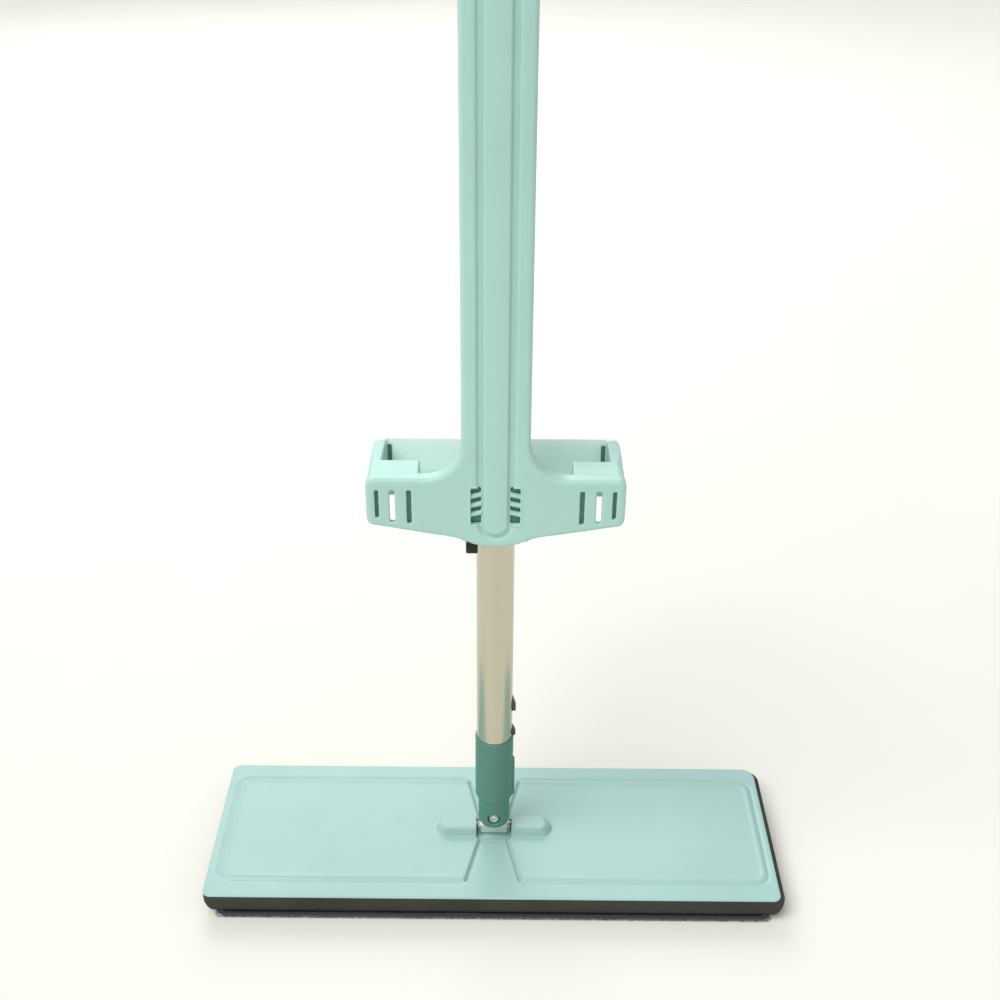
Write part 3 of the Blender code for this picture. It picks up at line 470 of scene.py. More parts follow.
def turned(name, profile, material, sides=72, sharp=30):
    """A profile of (radius, z) turned about Z; it closes on itself unless it starts on the axis."""
    closed = profile[0][0] > 0.0
    verts, rings = [], []
    for radius, z in profile:
        if radius <= 0.0:
            rings.append([len(verts)] * sides)
            verts.append((0.0, 0.0, z))
            continue
        rings.append(list(range(len(verts), len(verts) + sides)))
        for side in range(sides):
            angle = math.tau * side / sides
            verts.append((radius * math.cos(angle), radius * math.sin(angle), z))
    pairs = list(zip(rings, rings[1:])) + ([(rings[-1], rings[0])] if closed else [])
    faces = []
    for upper, lower in pairs:
        for side in range(sides):
            after = (side + 1) % sides
            face = [upper[side], lower[side], lower[after], upper[after]]
            face = [v for index, v in enumerate(face) if v != face[index - 1]]
            faces.append(face)
    return add_mesh(name, verts, faces, material, sharp=sharp)


def moved(obj, matrix):
    obj.data.transform(matrix)
    return obj


def steps(*stretches):
    """Grid lines: (start, end, spacing) stretches joined end to end."""
    lines = []
    for start, end, spacing in stretches:
        count = max(1, round((end - start) / spacing))
        lines += [start + (end - start) * index / count for index in range(count)]
    return np.array(lines + [stretches[-1][1]])


def cell_edges():
    """The twelve edges of a unit cell, as pairs of corners."""
    edges = []
    for axis in range(3):
        for second in (0, 1):
            for first in (0, 1):
                start = [first, second]
                start.insert(axis, 0)
                end = start[:axis] + [1] + start[axis + 1:]
                edges.append((tuple(start), tuple(end)))
    return edges


EDGES = cell_edges()


def around(low, high, margins, spacings):
    """Grid lines along X, Y and Z that pass a box by the margins."""
    return [steps((a - margin, b + margin, spacing))
            for a, b, margin, spacing in zip(low, high, margins, spacings)]


def implicit(name, field, xs, ys, zs, material):
    """A closed mesh of the surface where field is zero, with one vertex in each grid cell that it crosses.

    field takes x, y and z in millimetres and is negative inside the solid.
    """
    values = field(xs[:, None, None], ys[None, :, None], zs[None, None, :])
    values = np.broadcast_to(values, (len(xs), len(ys), len(zs)))
    inside = values < 0.0
    count = np.zeros([n - 1 for n in inside.shape], int)
    for dx in (0, 1):
        for dy in (0, 1):
            for dz in (0, 1):
                count += inside[dx:dx + count.shape[0], dy:dy + count.shape[1], dz:dz + count.shape[2]]
    cells = np.argwhere((count > 0) & (count < 8))
    lookup = np.full(count.shape, -1)
    lookup[tuple(cells.T)] = np.arange(len(cells))
    axes = (xs, ys, zs)
    total = np.zeros((len(cells), 3))
    hits = np.zeros((len(cells), 1))
    for first, second in EDGES:
        a, b = cells + first, cells + second
        va, vb = values[tuple(a.T)], values[tuple(b.T)]
        crossed = (va < 0.0) != (vb < 0.0)
        share = np.where(crossed, va / np.where(crossed, va - vb, 1.0), 0.0)[:, None]
        pa = np.stack([axes[i][a[:, i]] for i in range(3)], 1)
        pb = np.stack([axes[i][b[:, i]] for i in range(3)], 1)
        total += np.where(crossed[:, None], pa + share * (pb - pa), 0.0)
        hits += crossed[:, None]
    verts = total / hits
    quads = []
    for axis in range(3):
        one, two = (axis + 1) % 3, (axis + 2) % 3
        low = [slice(None)] * 3
        high = [slice(None)] * 3
        low[axis], high[axis] = slice(0, -1), slice(1, None)
        low_in, high_in = inside[tuple(low)], inside[tuple(high)]
        found = np.argwhere(low_in != high_in)
        found = found[(found[:, one] > 0) & (found[:, two] > 0)
                      & (found[:, one] < inside.shape[one] - 1) & (found[:, two] < inside.shape[two] - 1)]
        outward = low_in[tuple(found.T)]
        around = []
        for back_one, back_two in ((1, 1), (0, 1), (0, 0), (1, 0)):
            cell = found.copy()
            cell[:, one] -= back_one
            cell[:, two] -= back_two
            around.append(lookup[tuple(cell.T)])
        quad = np.stack(around, 1)
        quad[~outward] = quad[~outward][:, ::-1]
        quads.append(quad)
    quads = np.concatenate(quads)
    mesh = bpy.data.meshes.new(name)
    mesh.from_pydata(verts * MM, [], quads.tolist())
    mesh.materials.append(material)
    mesh.shade_smooth()
    obj = bpy.data.objects.new(name, mesh)
    bpy.context.scene.collection.objects.link(obj)
    return obj


# Distance fields: negative inside, in millimetres

def box_field(x, y, z, low, high, radius=0.0):
    q = [np.abs(value - (a + b) / 2) - (b - a) / 2 + radius for value, a, b in zip((x, y, z), low, high)]
    outside = np.sqrt(sum(np.maximum(part, 0.0) ** 2 for part in q))
    return outside + np.minimum(np.maximum(np.maximum(q[0], q[1]), q[2]), 0.0) - radius


def rectangle_field(u, v, low, high, radius=0.0):
    q = [np.abs(value - (a + b) / 2) - (b - a) / 2 + radius for value, a, b in zip((u, v), low, high)]
    outside = np.sqrt(np.maximum(q[0], 0.0) ** 2 + np.maximum(q[1], 0.0) ** 2)
    return outside + np.minimum(np.maximum(q[0], q[1]), 0.0) - radius


def circle_field(u, v, centre, radius):
    return np.sqrt((u - centre[0]) ** 2 + (v - centre[1]) ** 2) - radius


def polygon_field(u, v, points):
    """Distance to a closed outline in the u, v plane."""
    best = None
    odd = False
    for (ax, ay), (bx, by) in zip(points, points[1:] + points[:1]):
        ex, ey = bx - ax, by - ay
        wx, wy = u - ax, v - ay
        along = np.clip((wx * ex + wy * ey) / (ex * ex + ey * ey), 0.0, 1.0)
        distance = (wx - ex * along) ** 2 + (wy - ey * along) ** 2
        best = distance if best is None else np.minimum(best, distance)
        rising = (v >= ay) != (v >= by)
        side = ex * wy - ey * wx
        odd = odd ^ (rising & ((side > 0) == (by > ay)))
    return np.where(odd, -1.0, 1.0) * np.sqrt(best)


def extruded(flat, w, low, high, radius=0.0):
    """A flat field given thickness along w, with its rims rounded."""
    a = flat + radius
    b = np.abs(w - (low + high) / 2) - (high - low) / 2 + radius
    outside = np.sqrt(np.maximum(a, 0.0) ** 2 + np.maximum(b, 0.0) ** 2)
    return outside + np.minimum(np.maximum(a, b), 0.0) - radius


def overlap(a, b):
    return np.maximum(a, b)


def union(a, b):
    return np.minimum(a, b)


def cut(a, tool):
    """What is left of a without the tool."""
    return np.maximum(a, -tool)


def blend_union(a, b, width):
    share = np.clip(0.5 + 0.5 * (b - a) / width, 0.0, 1.0)
    return b * (1 - share) + a * share - width * share * (1 - share)


def blend_cut(a, tool, width):
    return -blend_union(-a, tool, width)


def arc(centre, radius, start, end, count=10):
    angles = [math.radians(start + (end - start) * step / count) for step in range(count + 1)]
    return [(centre[0] + radius * math.cos(a), centre[1] + radius * math.sin(a)) for a in angles]


def mirrored(half):
    return half + [(-x, z) for x, z in reversed(half) if x > 0.0]


def smoothstep(value, low, high):
    share = np.clip((value - low) / (high - low), 0.0, 1.0)
    return share * share * (3.0 - 2.0 * share)


# ---- wringer sleeve

WALL = 2.2
FRONT_WALL = 2.4
EDGE_R = 2.6
WING_HALF = SHELL_HIGH.x
WING_TOP = 289.2
WING_BOTTOM = 260.2
CHIN_BOTTOM = SHELL_LOW.z
FLARE_FOOT = 40.2
CHANNEL_REAR = 15.0
CHANNEL_CROWN = 0.9
CHANNEL_BOTTOM = 250.0
CHANNEL_WALL = 1.8
CHANNEL_BACK = SLEEVE_FRONT + 3.1
RECESS_HALF = 10.0
RECESS_FLOOR = SLEEVE_FRONT + 1.6
SPINE_HALF = SPINE_HIGH.x
SPINE_BOTTOM = SPINE_LOW.z
LEDGE_REAR = 6.5
BLOCK_REAR = 17.6
BLOCK_INNER = 42.5
POST_INNER = 64.0
NOTCH_FRONT = -8.4
POST_REAR = REAR_LOW.y - 0.3
WING_SLOTS = ((47.5, 2.6, 261.5), (56.7, 2.9, 262.5), (65.2, 2.2, 265.0))
WING_SLOT_TOP = 282.6
WINDOW_LOW, WINDOW_HIGH = (8.1, 261.4), (13.6, 284.3)
TEETH = 3
TOOTH_MIDDLE = 10.8
FLANGE_FOOT = 262.0


def wing_outline():
    radius = FLARE_FOOT - SLEEVE_HALF
    half = ([(0.0, CHIN_BOTTOM)] + [(7.0, CHIN_BOTTOM + 0.4), (12.5, CHIN_BOTTOM + 1.9),
                                    (18.0, CHIN_BOTTOM + 4.4), (23.0, CHIN_BOTTOM + 6.1),
                                    (29.0, CHIN_BOTTOM + 7.3), (36.0, CHIN_BOTTOM + 8.3)]
            + arc((WING_HALF - 5.6, WING_BOTTOM + 5.0), 5.6, 276, 356, 8)
            + [(WING_HALF + 0.1, 276.0)]
            + arc((WING_HALF - 4.2, WING_TOP - 4.2), 4.2, 0, 90, 7)
            + arc((FLARE_FOOT, WING_TOP + radius), radius, 270, 180, 14) + [(0.0, WING_TOP + radius)])
    return mirrored(half)


def channel_field(x, y, z):
    outer = rectangle_field(x, y, (-SLEEVE_HALF, SLEEVE_FRONT), (SLEEVE_HALF, CHANNEL_REAR), EDGE_R)
    square_rear = rectangle_field(x, y, (-SLEEVE_HALF, 0.0), (SLEEVE_HALF, CHANNEL_REAR), 0.5)
    inner_half = SLEEVE_HALF - CHANNEL_WALL
    inner = rectangle_field(x, y, (-inner_half, CHANNEL_BACK), (inner_half, 60.0), 1.2)
    section = overlap(union(outer, square_rear), -inner)
    return extruded(section, z, CHANNEL_BOTTOM, SLEEVE_TOP, 0.3)


def block_field(x, y, z, inset):
    """One guide block: a rounded ledge in front and a lead-in slope behind, hollow from below."""
    r = 2.2
    front = SLEEVE_FRONT + r + 0.8
    outline = [(front, WING_BOTTOM - 8), (front, WING_TOP - r), (LEDGE_REAR - r * 0.6, WING_TOP - r),
               (BLOCK_REAR - r, 266.5), (BLOCK_REAR - r, WING_BOTTOM - 8)]
    section = polygon_field(y, z, outline) - r + inset
    outer_end = POST_INNER if inset else WING_HALF - 0.4
    ends = overlap(BLOCK_INNER + inset - x, x - outer_end)
    return overlap(section, ends)


def shell_field(x, y, z):
    side = np.abs(x)
    crown = CHANNEL_CROWN * np.minimum(side / SLEEVE_HALF, 1.0) ** 2 * smoothstep(z, 292.0, 340.0)
    y = y - crown * (y < 0.0)
    outline = polygon_field(x, z, wing_outline())
    wall = extruded(outline, y, SLEEVE_FRONT, SLEEVE_FRONT + FRONT_WALL + EDGE_R, EDGE_R)
    wall = overlap(wall, y - (SLEEVE_FRONT + FRONT_WALL))
    flange = extruded(outline, y, SLEEVE_FRONT, NOTCH_FRONT + EDGE_R, EDGE_R)
    flange = cut(flange, outline + WALL)
    flange = overlap(flange, np.where(z < FLANGE_FOOT, y - CHANNEL_BACK, y - NOTCH_FRONT))
    in_channel = overlap(side - (SLEEVE_HALF - CHANNEL_WALL), FLANGE_FOOT - z)
    flange = cut(flange, in_channel)
    front = union(wall, flange)

    block = overlap(block_field(side, y, z, 0.0), -block_field(side, y, z, WALL))
    block = overlap(block, (WING_BOTTOM + 0.6) - z)
    post_outline = [(SLEEVE_FRONT + 2.3, WING_BOTTOM + 1.5), (SLEEVE_FRONT + 2.3, WING_TOP - 1.5),
                    (LEDGE_REAR, WING_TOP - 1.5), (POST_REAR - 1.0, WING_SLOT_TOP),
                    (POST_REAR - 1.0, WING_BOTTOM + 1.5)]
    flared = WING_HALF - 0.9 + 0.9 * smoothstep(y, -14.0, 30.0)
    post = polygon_field(y, z, post_outline) - 1.4
    post = overlap(post, overlap(POST_INNER - side, side - flared))
    guides = overlap(union(block, post), outline + 0.3)
    wings = blend_union(front, guides, 1.0)
    solid = union(wings, channel_field(x, y, z))

    recess_outline = (arc((0, SPINE_BOTTOM + SPINE_HALF), RECESS_HALF - 0.6, 180, 360, 20)
                      + [(RECESS_HALF, 268.0), (RECESS_HALF, 900.0),
                         (-RECESS_HALF, 900.0), (-RECESS_HALF, 268.0)])
    recess = extruded(polygon_field(x, z, recess_outline), y, SLEEVE_FRONT - 4, RECESS_FLOOR, 0.2)
    solid = blend_cut(solid, recess, 1.9)
    rim = np.abs(rectangle_field(side, z, WINDOW_LOW, WINDOW_HIGH, 0.7) - 0.5) - 0.45
    rim = overlap(overlap(rim, np.abs(y - SLEEVE_FRONT - 1.0) - 1.35), RECESS_HALF - 0.3 - side)
    solid = blend_union(solid, rim, 0.3)
    window = rectangle_field(side, z, WINDOW_LOW, WINDOW_HIGH, 0.7)
    window = extruded(window, y, SLEEVE_FRONT - 4, SLEEVE_FRONT + 5, 0.2)
    solid = blend_cut(solid, window, 0.5)
    pitch = (WINDOW_HIGH[1] - WINDOW_LOW[1]) / (TEETH + 1)
    for tooth in range(TEETH):
        z0 = WINDOW_LOW[1] + pitch * (tooth + 1)
        slope = (side - TOOTH_MIDDLE) * 0.25
        bar = overlap(np.abs(z - z0 + slope - (y - SLEEVE_FRONT) * 0.35) - 1.15,
                         np.abs(y - SLEEVE_FRONT - 2.0) - 1.1)
        bar = overlap(bar, np.abs(side - TOOTH_MIDDLE) - 3.2)
        solid = union(solid, bar)
    for slot_x, width, bottom in WING_SLOTS:
        half = width / 2
        slot = rectangle_field(side, z, (slot_x - half, bottom), (slot_x + half, WING_SLOT_TOP), width * 0.3)
        solid = blend_cut(solid, extruded(slot, y, SLEEVE_FRONT - 4, SLEEVE_FRONT + 3.2, 0.1), 0.4)
    return solid


def make_shell():
    xs = steps((-73, -44, 0.6), (-44, -20, 0.8), (-20, 20, 0.5), (20, 44, 0.8), (44, 73, 0.6))
    ys = steps((-18.5, -12, 0.45), (-12, 16, 0.8), (16, 20, 0.6), (20, 40.5, 1.0))
    zs = steps((244.5, 314, 0.6), (314, 330, 2.0), (330, 840, 30.0), (840, 843, 1.0), (843, 846, 0.5))
    shell = implicit("wringer_shell", shell_field, xs, ys, zs, MINT)
    place(shell, "sleeve", ["sleeve_shell"], "mint_abs")


def spine_field(x, y, z):
    outline = polygon_field(x, z, arc((0, SPINE_BOTTOM + SPINE_HALF), SPINE_HALF, 180, 360, 24)
                            + [(SPINE_HALF, SLEEVE_TOP), (-SPINE_HALF, SLEEVE_TOP)])
    crown = 0.35 * (x / SPINE_HALF) ** 2
    return extruded(outline, y - crown, SPINE_LOW.y, SPINE_HIGH.y + 0.9, 1.3)


def make_spine():
    xs = steps((-7.6, 7.6, 0.35))
    ys = steps((-18.0, -14.0, 0.25))
    zs = steps((254.0, 264.0, 0.35), (264.0, 270, 2.0), (270, 840, 30.0), (840, 846, 0.5))
    place(implicit("spine_strip", spine_field, xs, ys, zs, MINT), "sleeve", ["centre_spine"], "mint_abs")


def shade_plate(name, low, high, margin):
    """A small dark plate inside the sleeve, seen through a slot: painted shade for the slot's shaded inside.
    """
    def field(x, y, z):
        return box_field(x, y, z, low, high, 0.2)

    plate = implicit(name, field, *around(low, high, (margin, 0.3, 0.5), (0.4, 0.2, 0.5)), TEAL)
    place(plate, "sleeve", slot="teal")


END_SLOT_X = 62.25


def make_end_slot_shade():
    """Dark plates at the bottom of the rear bar's two end slots, as painted shade."""
    for name, direction in (("end_slot_shade_left", -1), ("end_slot_shade_right", 1)):
        low = Vector((direction * END_SLOT_X - 1.5, 41.5, 266.0))
        high = Vector((direction * END_SLOT_X + 1.5, 42.4, 280.5))
        shade_plate(name, low, high, 0.4)


def make_wing_slot_shade():
    """Dark plates behind the inner and outer slots of each wing, as painted shade; the middle slot stays
    open.
    """
    front = SLEEVE_FRONT + 2.5
    for name, direction in (("wing_slot_shade_left", -1), ("wing_slot_shade_right", 1)):
        for label, slot, lap in (("inner", WING_SLOTS[0], 0.9), ("outer", WING_SLOTS[2], 0.3)):
            slot_x, width, bottom = slot
            half = width / 2 + lap
            low = Vector((direction * slot_x - half, front, bottom - 1.0))
            high = Vector((direction * slot_x + half, front + 0.8, WING_SLOT_TOP + 1.0))
            shade_plate(f"{name}_{label}", low, high, 0.5)


def make_window_shade():
    """Dark slatted plates behind the two windows beside the spine, as painted shade inside the sleeve."""
    for name, direction in (("window_shade_left", -1), ("window_shade_right", 1)):
        def field(x, y, z):
            low = (WINDOW_LOW[0] - 0.9, SLEEVE_FRONT + 3.15, WINDOW_LOW[1] - 1)
            high = (WINDOW_HIGH[0] + 1.2, SLEEVE_FRONT + 3.75, WINDOW_HIGH[1] + 1)
            plate = box_field(x * direction, y, z, low, high, 0.2)
            slats = np.abs(np.mod(z - WINDOW_LOW[1], 1.9) - 0.95) - 0.4
            return plate + 0.12 * (slats > 0)
        middle = direction * (WINDOW_LOW[0] + WINDOW_HIGH[0]) / 2
        shade_sheet = implicit(name, field, steps((middle - 4.6, middle + 4.6, 0.6)),
                          steps((SLEEVE_FRONT + 2.8, SLEEVE_FRONT + 4.2, 0.15)),
                          steps((WINDOW_LOW[1] - 1.6, WINDOW_HIGH[1] + 1.6, 0.35)), TEAL)
        place(shade_sheet, "sleeve", slot="teal")


REAR_STEP = 266.0
REAR_FOOT = 258.0
REAR_LIP = 2.1


def rear_field(x, y, z):
    """The rear bar: a leaning lead-in face above, the roller's pocket below, and its two end cheeks."""
    side = np.abs(x)
    y0, y1 = REAR_LOW.y, REAR_HIGH.y
    lean = y0 - REAR_LIP + (z - REAR_STEP) * 0.27
    face = np.where(z > REAR_STEP, lean, np.where(side > 60.5, y0, lean))
    face = np.maximum(face, y0 - REAR_LIP)
    outline = rectangle_field(x, z, (-WING_HALF, 240.0), (WING_HALF, REAR_HIGH.z), 4.0)
    upper = extruded(outline, y - 40.5, -9.0, 2.6, 0.8)
    upper = overlap(upper, np.where(side > POST_INNER - 0.2, y0, face) - y)
    upper = overlap(upper, REAR_FOOT - z)
    shelf_outline = [(y0, REAR_FOOT), (42.5, 264.5), (y1, 259.5), (y1, REAR_LOW.z), (47.0, REAR_LOW.z),
                     (47.0, REAR_FOOT)]
    lower = extruded(polygon_field(y, z, shelf_outline), x, -WING_HALF, WING_HALF, 0.8)
    cheek = box_field(side, y, z, (60.2, y0, REAR_LOW.z), (WING_HALF, 48.0, 260.0), 0.8)
    body = blend_union(blend_union(upper, lower, 1.0), cheek, 0.8)
    for rib_x in (12.0, 36.0):
        low, high = (rib_x - 0.7, 41.5, REAR_FOOT), (rib_x + 0.7, 44.0, REAR_HIGH.z - 2.5)
        rib = box_field(side, y, z, low, high, 0.4)
        body = blend_union(body, rib, 0.6)
    body = cut(body, box_field(side, y, z, (61.0, y0 - 6, 266.5), (63.5, 42.3, 280.0), 0.3))
    bore = circle_field(y, z, (ROLLER_MIDDLE.y, ROLLER_MIDDLE.z), AXLE_BORE)
    body = cut(body, overlap(bore, side - 63.5))
    for hole_z in (268.2, 278.5):
        body = cut(body, circle_field(side, z, (67.8, hole_z), 1.7))
    return body


def make_rear_frame():
    xs = steps((-72, -59, 0.45), (-59, 59, 1.4), (59, 72, 0.45))
    ys = steps((36.3, 50.5, 0.45))
    zs = steps((245.5, 285, 0.5))
    place(implicit("rear_bar", rear_field, xs, ys, zs, REAR_PAINTED_LIGHT_MINT), "sleeve", ["rear_frame"], "mint_abs")


# ---- pole and connector

SHOULDER = 50.5
BARREL_TOP = 98.5
TONGUE_CORNER = 5.6
SPIGOT_R = 9.6
SPIGOT = (95.0, 135.5)
BLADE_SLOT_HALF = 1.8
BLADE_SLOT_TOP = 47.2
RIVET_BORE_R = 2.3
HEAD_SINK_R = 4.1
TAIL_SINK_R = 3.9


def connector_field(x, y, z):
    """A barrel over the tube's end, a forked tongue for the bracket, a rib and an inner spigot."""
    round_body = np.hypot(x, y) - CONNECTOR_HIGH.y
    barrel = extruded(round_body, z, SHOULDER, BARREL_TOP, 0.7)
    corner = TONGUE_CORNER
    tongue_outline = mirrored(
        [(0.0, SHOULDER + 3), (9.8, SHOULDER + 3)]
        + arc((9.8 - corner, CONNECTOR_LOW.z + corner), corner, 0, -90, 10) + [(0.0, CONNECTOR_LOW.z)])
    tongue = extruded(polygon_field(x, z, tongue_outline), y, -14.0, 7.5, 0.6)
    tongue = blend_cut(tongue, -(round_body + 0.1), 0.4)
    body = blend_union(barrel, tongue, 0.9)
    rib = box_field(x, y, z, (9.0, -3.0, SHOULDER + 0.3), (CONNECTOR_HIGH.x - 0.2, 3.0, 78.0), 0.8)
    body = blend_union(body, rib, 0.8)
    notch = box_field(x, y, z, (10.4, -3.5, 80.5), (14.0, 3.5, 84.0), 0.4)
    body = cut(body, notch)
    spigot = overlap(np.hypot(x, y) - SPIGOT_R, overlap(z - SPIGOT[1], SPIGOT[0] - z))
    body = union(body, spigot)
    slot = overlap(np.abs(y) - BLADE_SLOT_HALF, z - BLADE_SLOT_TOP)
    bore = np.sqrt(x * x + (z - RIVET_Z) ** 2)
    body = cut(body, slot)
    body = blend_cut(body, overlap(bore - HEAD_SINK_R, y + 9.1), 0.3)
    body = cut(body, overlap(bore - TAIL_SINK_R, 5.9 - y))
    return overlap(body, RIVET_BORE_R - bore)


def snap_field(x, y, z):
    """Two snap barbs that stand through the lower tube: blunt below, thinning upwards."""
    best = None
    for low, high in BARBS:
        taper = np.clip((z - low - (high - low) * 0.40) / ((high - low) * 0.60), 0.0, 1.0)
        reach = CONNECTOR_HIGH.x - 2.0 * taper
        half = box_field(x, y, z, (7.0, -1.9, low), (CONNECTOR_HIGH.x, 1.9, high), 0.5)
        snap = overlap(half, x - reach)
        best = snap if best is None else union(best, snap)
    return best


def make_connector():
    xs = steps((-12.6, 14.2, 0.4))
    ys = steps((-12.8, 12.8, 0.4))
    zs = steps((29.5, 54, 0.4), (54, 77, 0.8), (77, 86, 0.45), (86, 97, 0.9), (97, 130, 0.45),
               (130, 136.5, 0.8))
    place(implicit("tube_socket", connector_field, xs, ys, zs, TEAL), "pole", ["socket_connector"], "teal")
    snaps = implicit("snap_barbs", snap_field, steps((6.5, 13.7, 0.3)), steps((-2.4, 2.4, 0.3)),
                     steps((98, 129, 0.35)), DARK_TEAL)
    place(snaps, "pole", slot="teal")


def tube(name, low, high, material, rings=()):
    """A thin tube; the two rings that it is given keep a cut between them from shading the rest."""
    wall = 0.8
    outer = [(TUBE_R, z) for z in rings]
    inner = [(TUBE_R - wall, z) for z in reversed(rings)]
    profile = ([(TUBE_R - wall, high), (TUBE_R - 0.15, high), (TUBE_R, high - 0.15)] + outer
               + [(TUBE_R, low + 0.15), (TUBE_R - 0.15, low), (TUBE_R - wall, low)] + inner)
    return turned(name, profile, material, 96)


def make_tubes():
    lower = tube("steel_tube_lower", TUBE_LOW.z, TUBE_HIGH.z, STAINLESS, (132.0, 99.6))
    for low, high in [(low - 0.6, high + 0.8) for low, high in BARBS]:
        corners = [(x, y, z) for x in (8, 15) for y in (-2.3, 2.3) for z in (low, high)]
        sides = [(0, 1, 3, 2), (4, 6, 7, 5), (0, 4, 5, 1), (2, 3, 7, 6), (0, 2, 6, 4), (1, 5, 7, 3)]
        cutter = add_mesh("cutter", corners, sides, STAINLESS)
        cut_mesh(lower, cutter)
    place(lower, "pole", ["tube_lower"], "stainless")
    upper = tube("steel_tube_upper", UPPER_LOW.z, UPPER_HIGH.z, STAINLESS)
    place(upper, "pole", ["tube_upper"], "stainless")


def cut_mesh(obj, cutter):
    """Apply one Boolean cut and remove the cutter."""
    modifier = obj.modifiers.new("cut", "BOOLEAN")
    modifier.operation = "DIFFERENCE"
    modifier.solver = "EXACT"
    modifier.object = cutter
    apply_modifiers(obj)
    bpy.data.objects.remove(cutter, do_unlink=True)


def apply_modifiers(obj):
    bpy.context.view_layer.update()
    evaluated = obj.evaluated_get(bpy.context.evaluated_depsgraph_get())
    mesh = bpy.data.meshes.new_from_object(evaluated)
    old = obj.data
    obj.modifiers.clear()
    obj.data = mesh
    bpy.data.meshes.remove(old)


# ---- head

PLATE_BASE = 18.0
PLATE_CORNER = 5.0
REAR_RIGHT_CORNER = 9.0
RIGHT_TRIM = 1.8
RIM_WIDTH = 2.4
RIM_LOW = 16.9
PANEL_RISE = 0.8
PANEL_END = 172.0
PANEL_SIDE = 45.5
CHANNEL_WAIST = 7.1
CHANNEL_SPREAD = 10.2
RIDGE_END = 38.2
RIDGE_HALF_WIDTH = 7.5
RIDGE_RISE = PLATE_HIGH.z - PLATE_BASE
SLOT_HALF = (11.3, 8.5)
SLOT_FLOOR = 16.6
HEAD_HALF = (PLATE_HIGH.x, PLATE_HIGH.y)


def plate_top(x, y):
    """Height of the plate's top: two raised panels, the channel's grooves and the pivot ridge."""
    side, across = np.abs(x), np.abs(y)
    channel = CHANNEL_WAIST + CHANNEL_SPREAD * across / PANEL_SIDE - side
    border = rectangle_field(side, y, (-PANEL_END, -PANEL_SIDE), (PANEL_END, PANEL_SIDE), 8.0)
    panel = overlap(border, channel)
    top = PLATE_BASE + PANEL_RISE * (1.0 - smoothstep(panel, -1.0, 1.0))
    lip = 0.30 * np.exp(-((border + 2.2) / 1.1) ** 2) * smoothstep(-channel, 1.0, 3.0)
    moat = 0.45 * np.exp(-((border - 1.6) / 0.9) ** 2) * smoothstep(-channel, 0.0, 2.0)
    groove = 1.9 * np.exp(-((channel - 0.3) / 0.95) ** 2) * smoothstep(-across, -46.8, -44.5)
    end = RIDGE_END - side - 0.085 * across * across
    end_slope = np.clip(end / 5.5, 0.0, 1.0)
    side_slope = np.clip((RIDGE_HALF_WIDTH + 0.3 - across) / 2.6, 0.0, 1.0)
    ridge = RIDGE_RISE * np.sin(end_slope * math.pi / 2) * np.sin(side_slope * math.pi / 2) ** 0.7
    return np.maximum(top + lip - moat - groove, PLATE_BASE + np.where(ridge > 0.02, ridge, -2.0))


def plate_field(x, y, z):
    top = plate_top(x, y)
    low, high = (-HEAD_HALF[0], -HEAD_HALF[1]), (HEAD_HALF[0] - RIGHT_TRIM, HEAD_HALF[1])
    outline = np.where((x > 0) & (y > 0), rectangle_field(x, y, low, high, REAR_RIGHT_CORNER),
                       rectangle_field(x, y, low, high, PLATE_CORNER))
    radius = 0.9
    a, b = z - top + radius, outline + radius
    outside = np.sqrt(np.maximum(a, 0.0) ** 2 + np.maximum(b, 0.0) ** 2)
    edge = outside + np.minimum(np.maximum(a, b), 0.0) - radius
    solid = overlap(edge, PLATE_LOW.z - z)
    rebate = overlap(-RIM_WIDTH - outline, z - RIM_LOW)
    solid = cut(solid, rebate)
    half_x, half_y = SLOT_HALF
    slot = box_field(x, y, z, (-half_x, -half_y, SLOT_FLOOR), (half_x, half_y, 40.0), 0.4)
    ramp = box_field(x, y, z, (-half_x + 1.0, -12.5, PLATE_BASE - 0.5), (half_x - 1.0, -7.0, 40.0), 0.5)
    return blend_cut(overlap(solid, -ramp), slot, 0.4)


def make_plate():
    xs = steps((-181.0, -162.5, 0.6), (-162.5, -43.0, 5.0), (-43.0, 43.0, 0.55), (43.0, 162.5, 5.0),
               (162.5, 181.0, 0.6))
    ys = steps((-61.0, -42.0, 0.55), (-42.0, -14.0, 1.4), (-14.0, 14.0, 0.5), (14.0, 42.0, 1.4),
               (42.0, 61.0, 0.55))
    zs = steps((14.3, 25.4, 0.42))
    place(implicit("head_plate", plate_field, xs, ys, zs, PLATE_MINT), "head", ["plate_cover"], "plate_mint")


def ring(left, half_y, corner, z, per_corner=6, right=None, rear_right=None):
    """A rounded rectangle from -left to right, with its own radius at the rear right."""
    right = left if right is None else right
    rear_right = corner if rear_right is None else rear_right
    points = []
    for end, sign_y, start, radius in ((right, 1, 0, rear_right), (-left, 1, 90, corner),
                                       (-left, -1, 180, corner), (right, -1, 270, corner)):
        centre = (end - math.copysign(radius, end), sign_y * (half_y - radius))
        points += [(px, py, z) for px, py in arc(centre, radius, start, start + 90, per_corner)]
    return points


def lofted(name, rings, material, sharp=None):
    """A closed solid through rings of equal count, first ring at the top."""
    count = len(rings[0])
    verts = [point for one in rings for point in one]
    faces = [tuple(range(count))]
    for level in range(len(rings) - 1):
        a, b = level * count, (level + 1) * count
        for index in range(count):
            after = (index + 1) % count
            faces.append((a + index, b + index, b + after, a + after))
    faces.append(tuple(reversed(range((len(rings) - 1) * count, len(rings) * count))))
    return add_mesh(name, verts, faces, material, sharp=sharp)


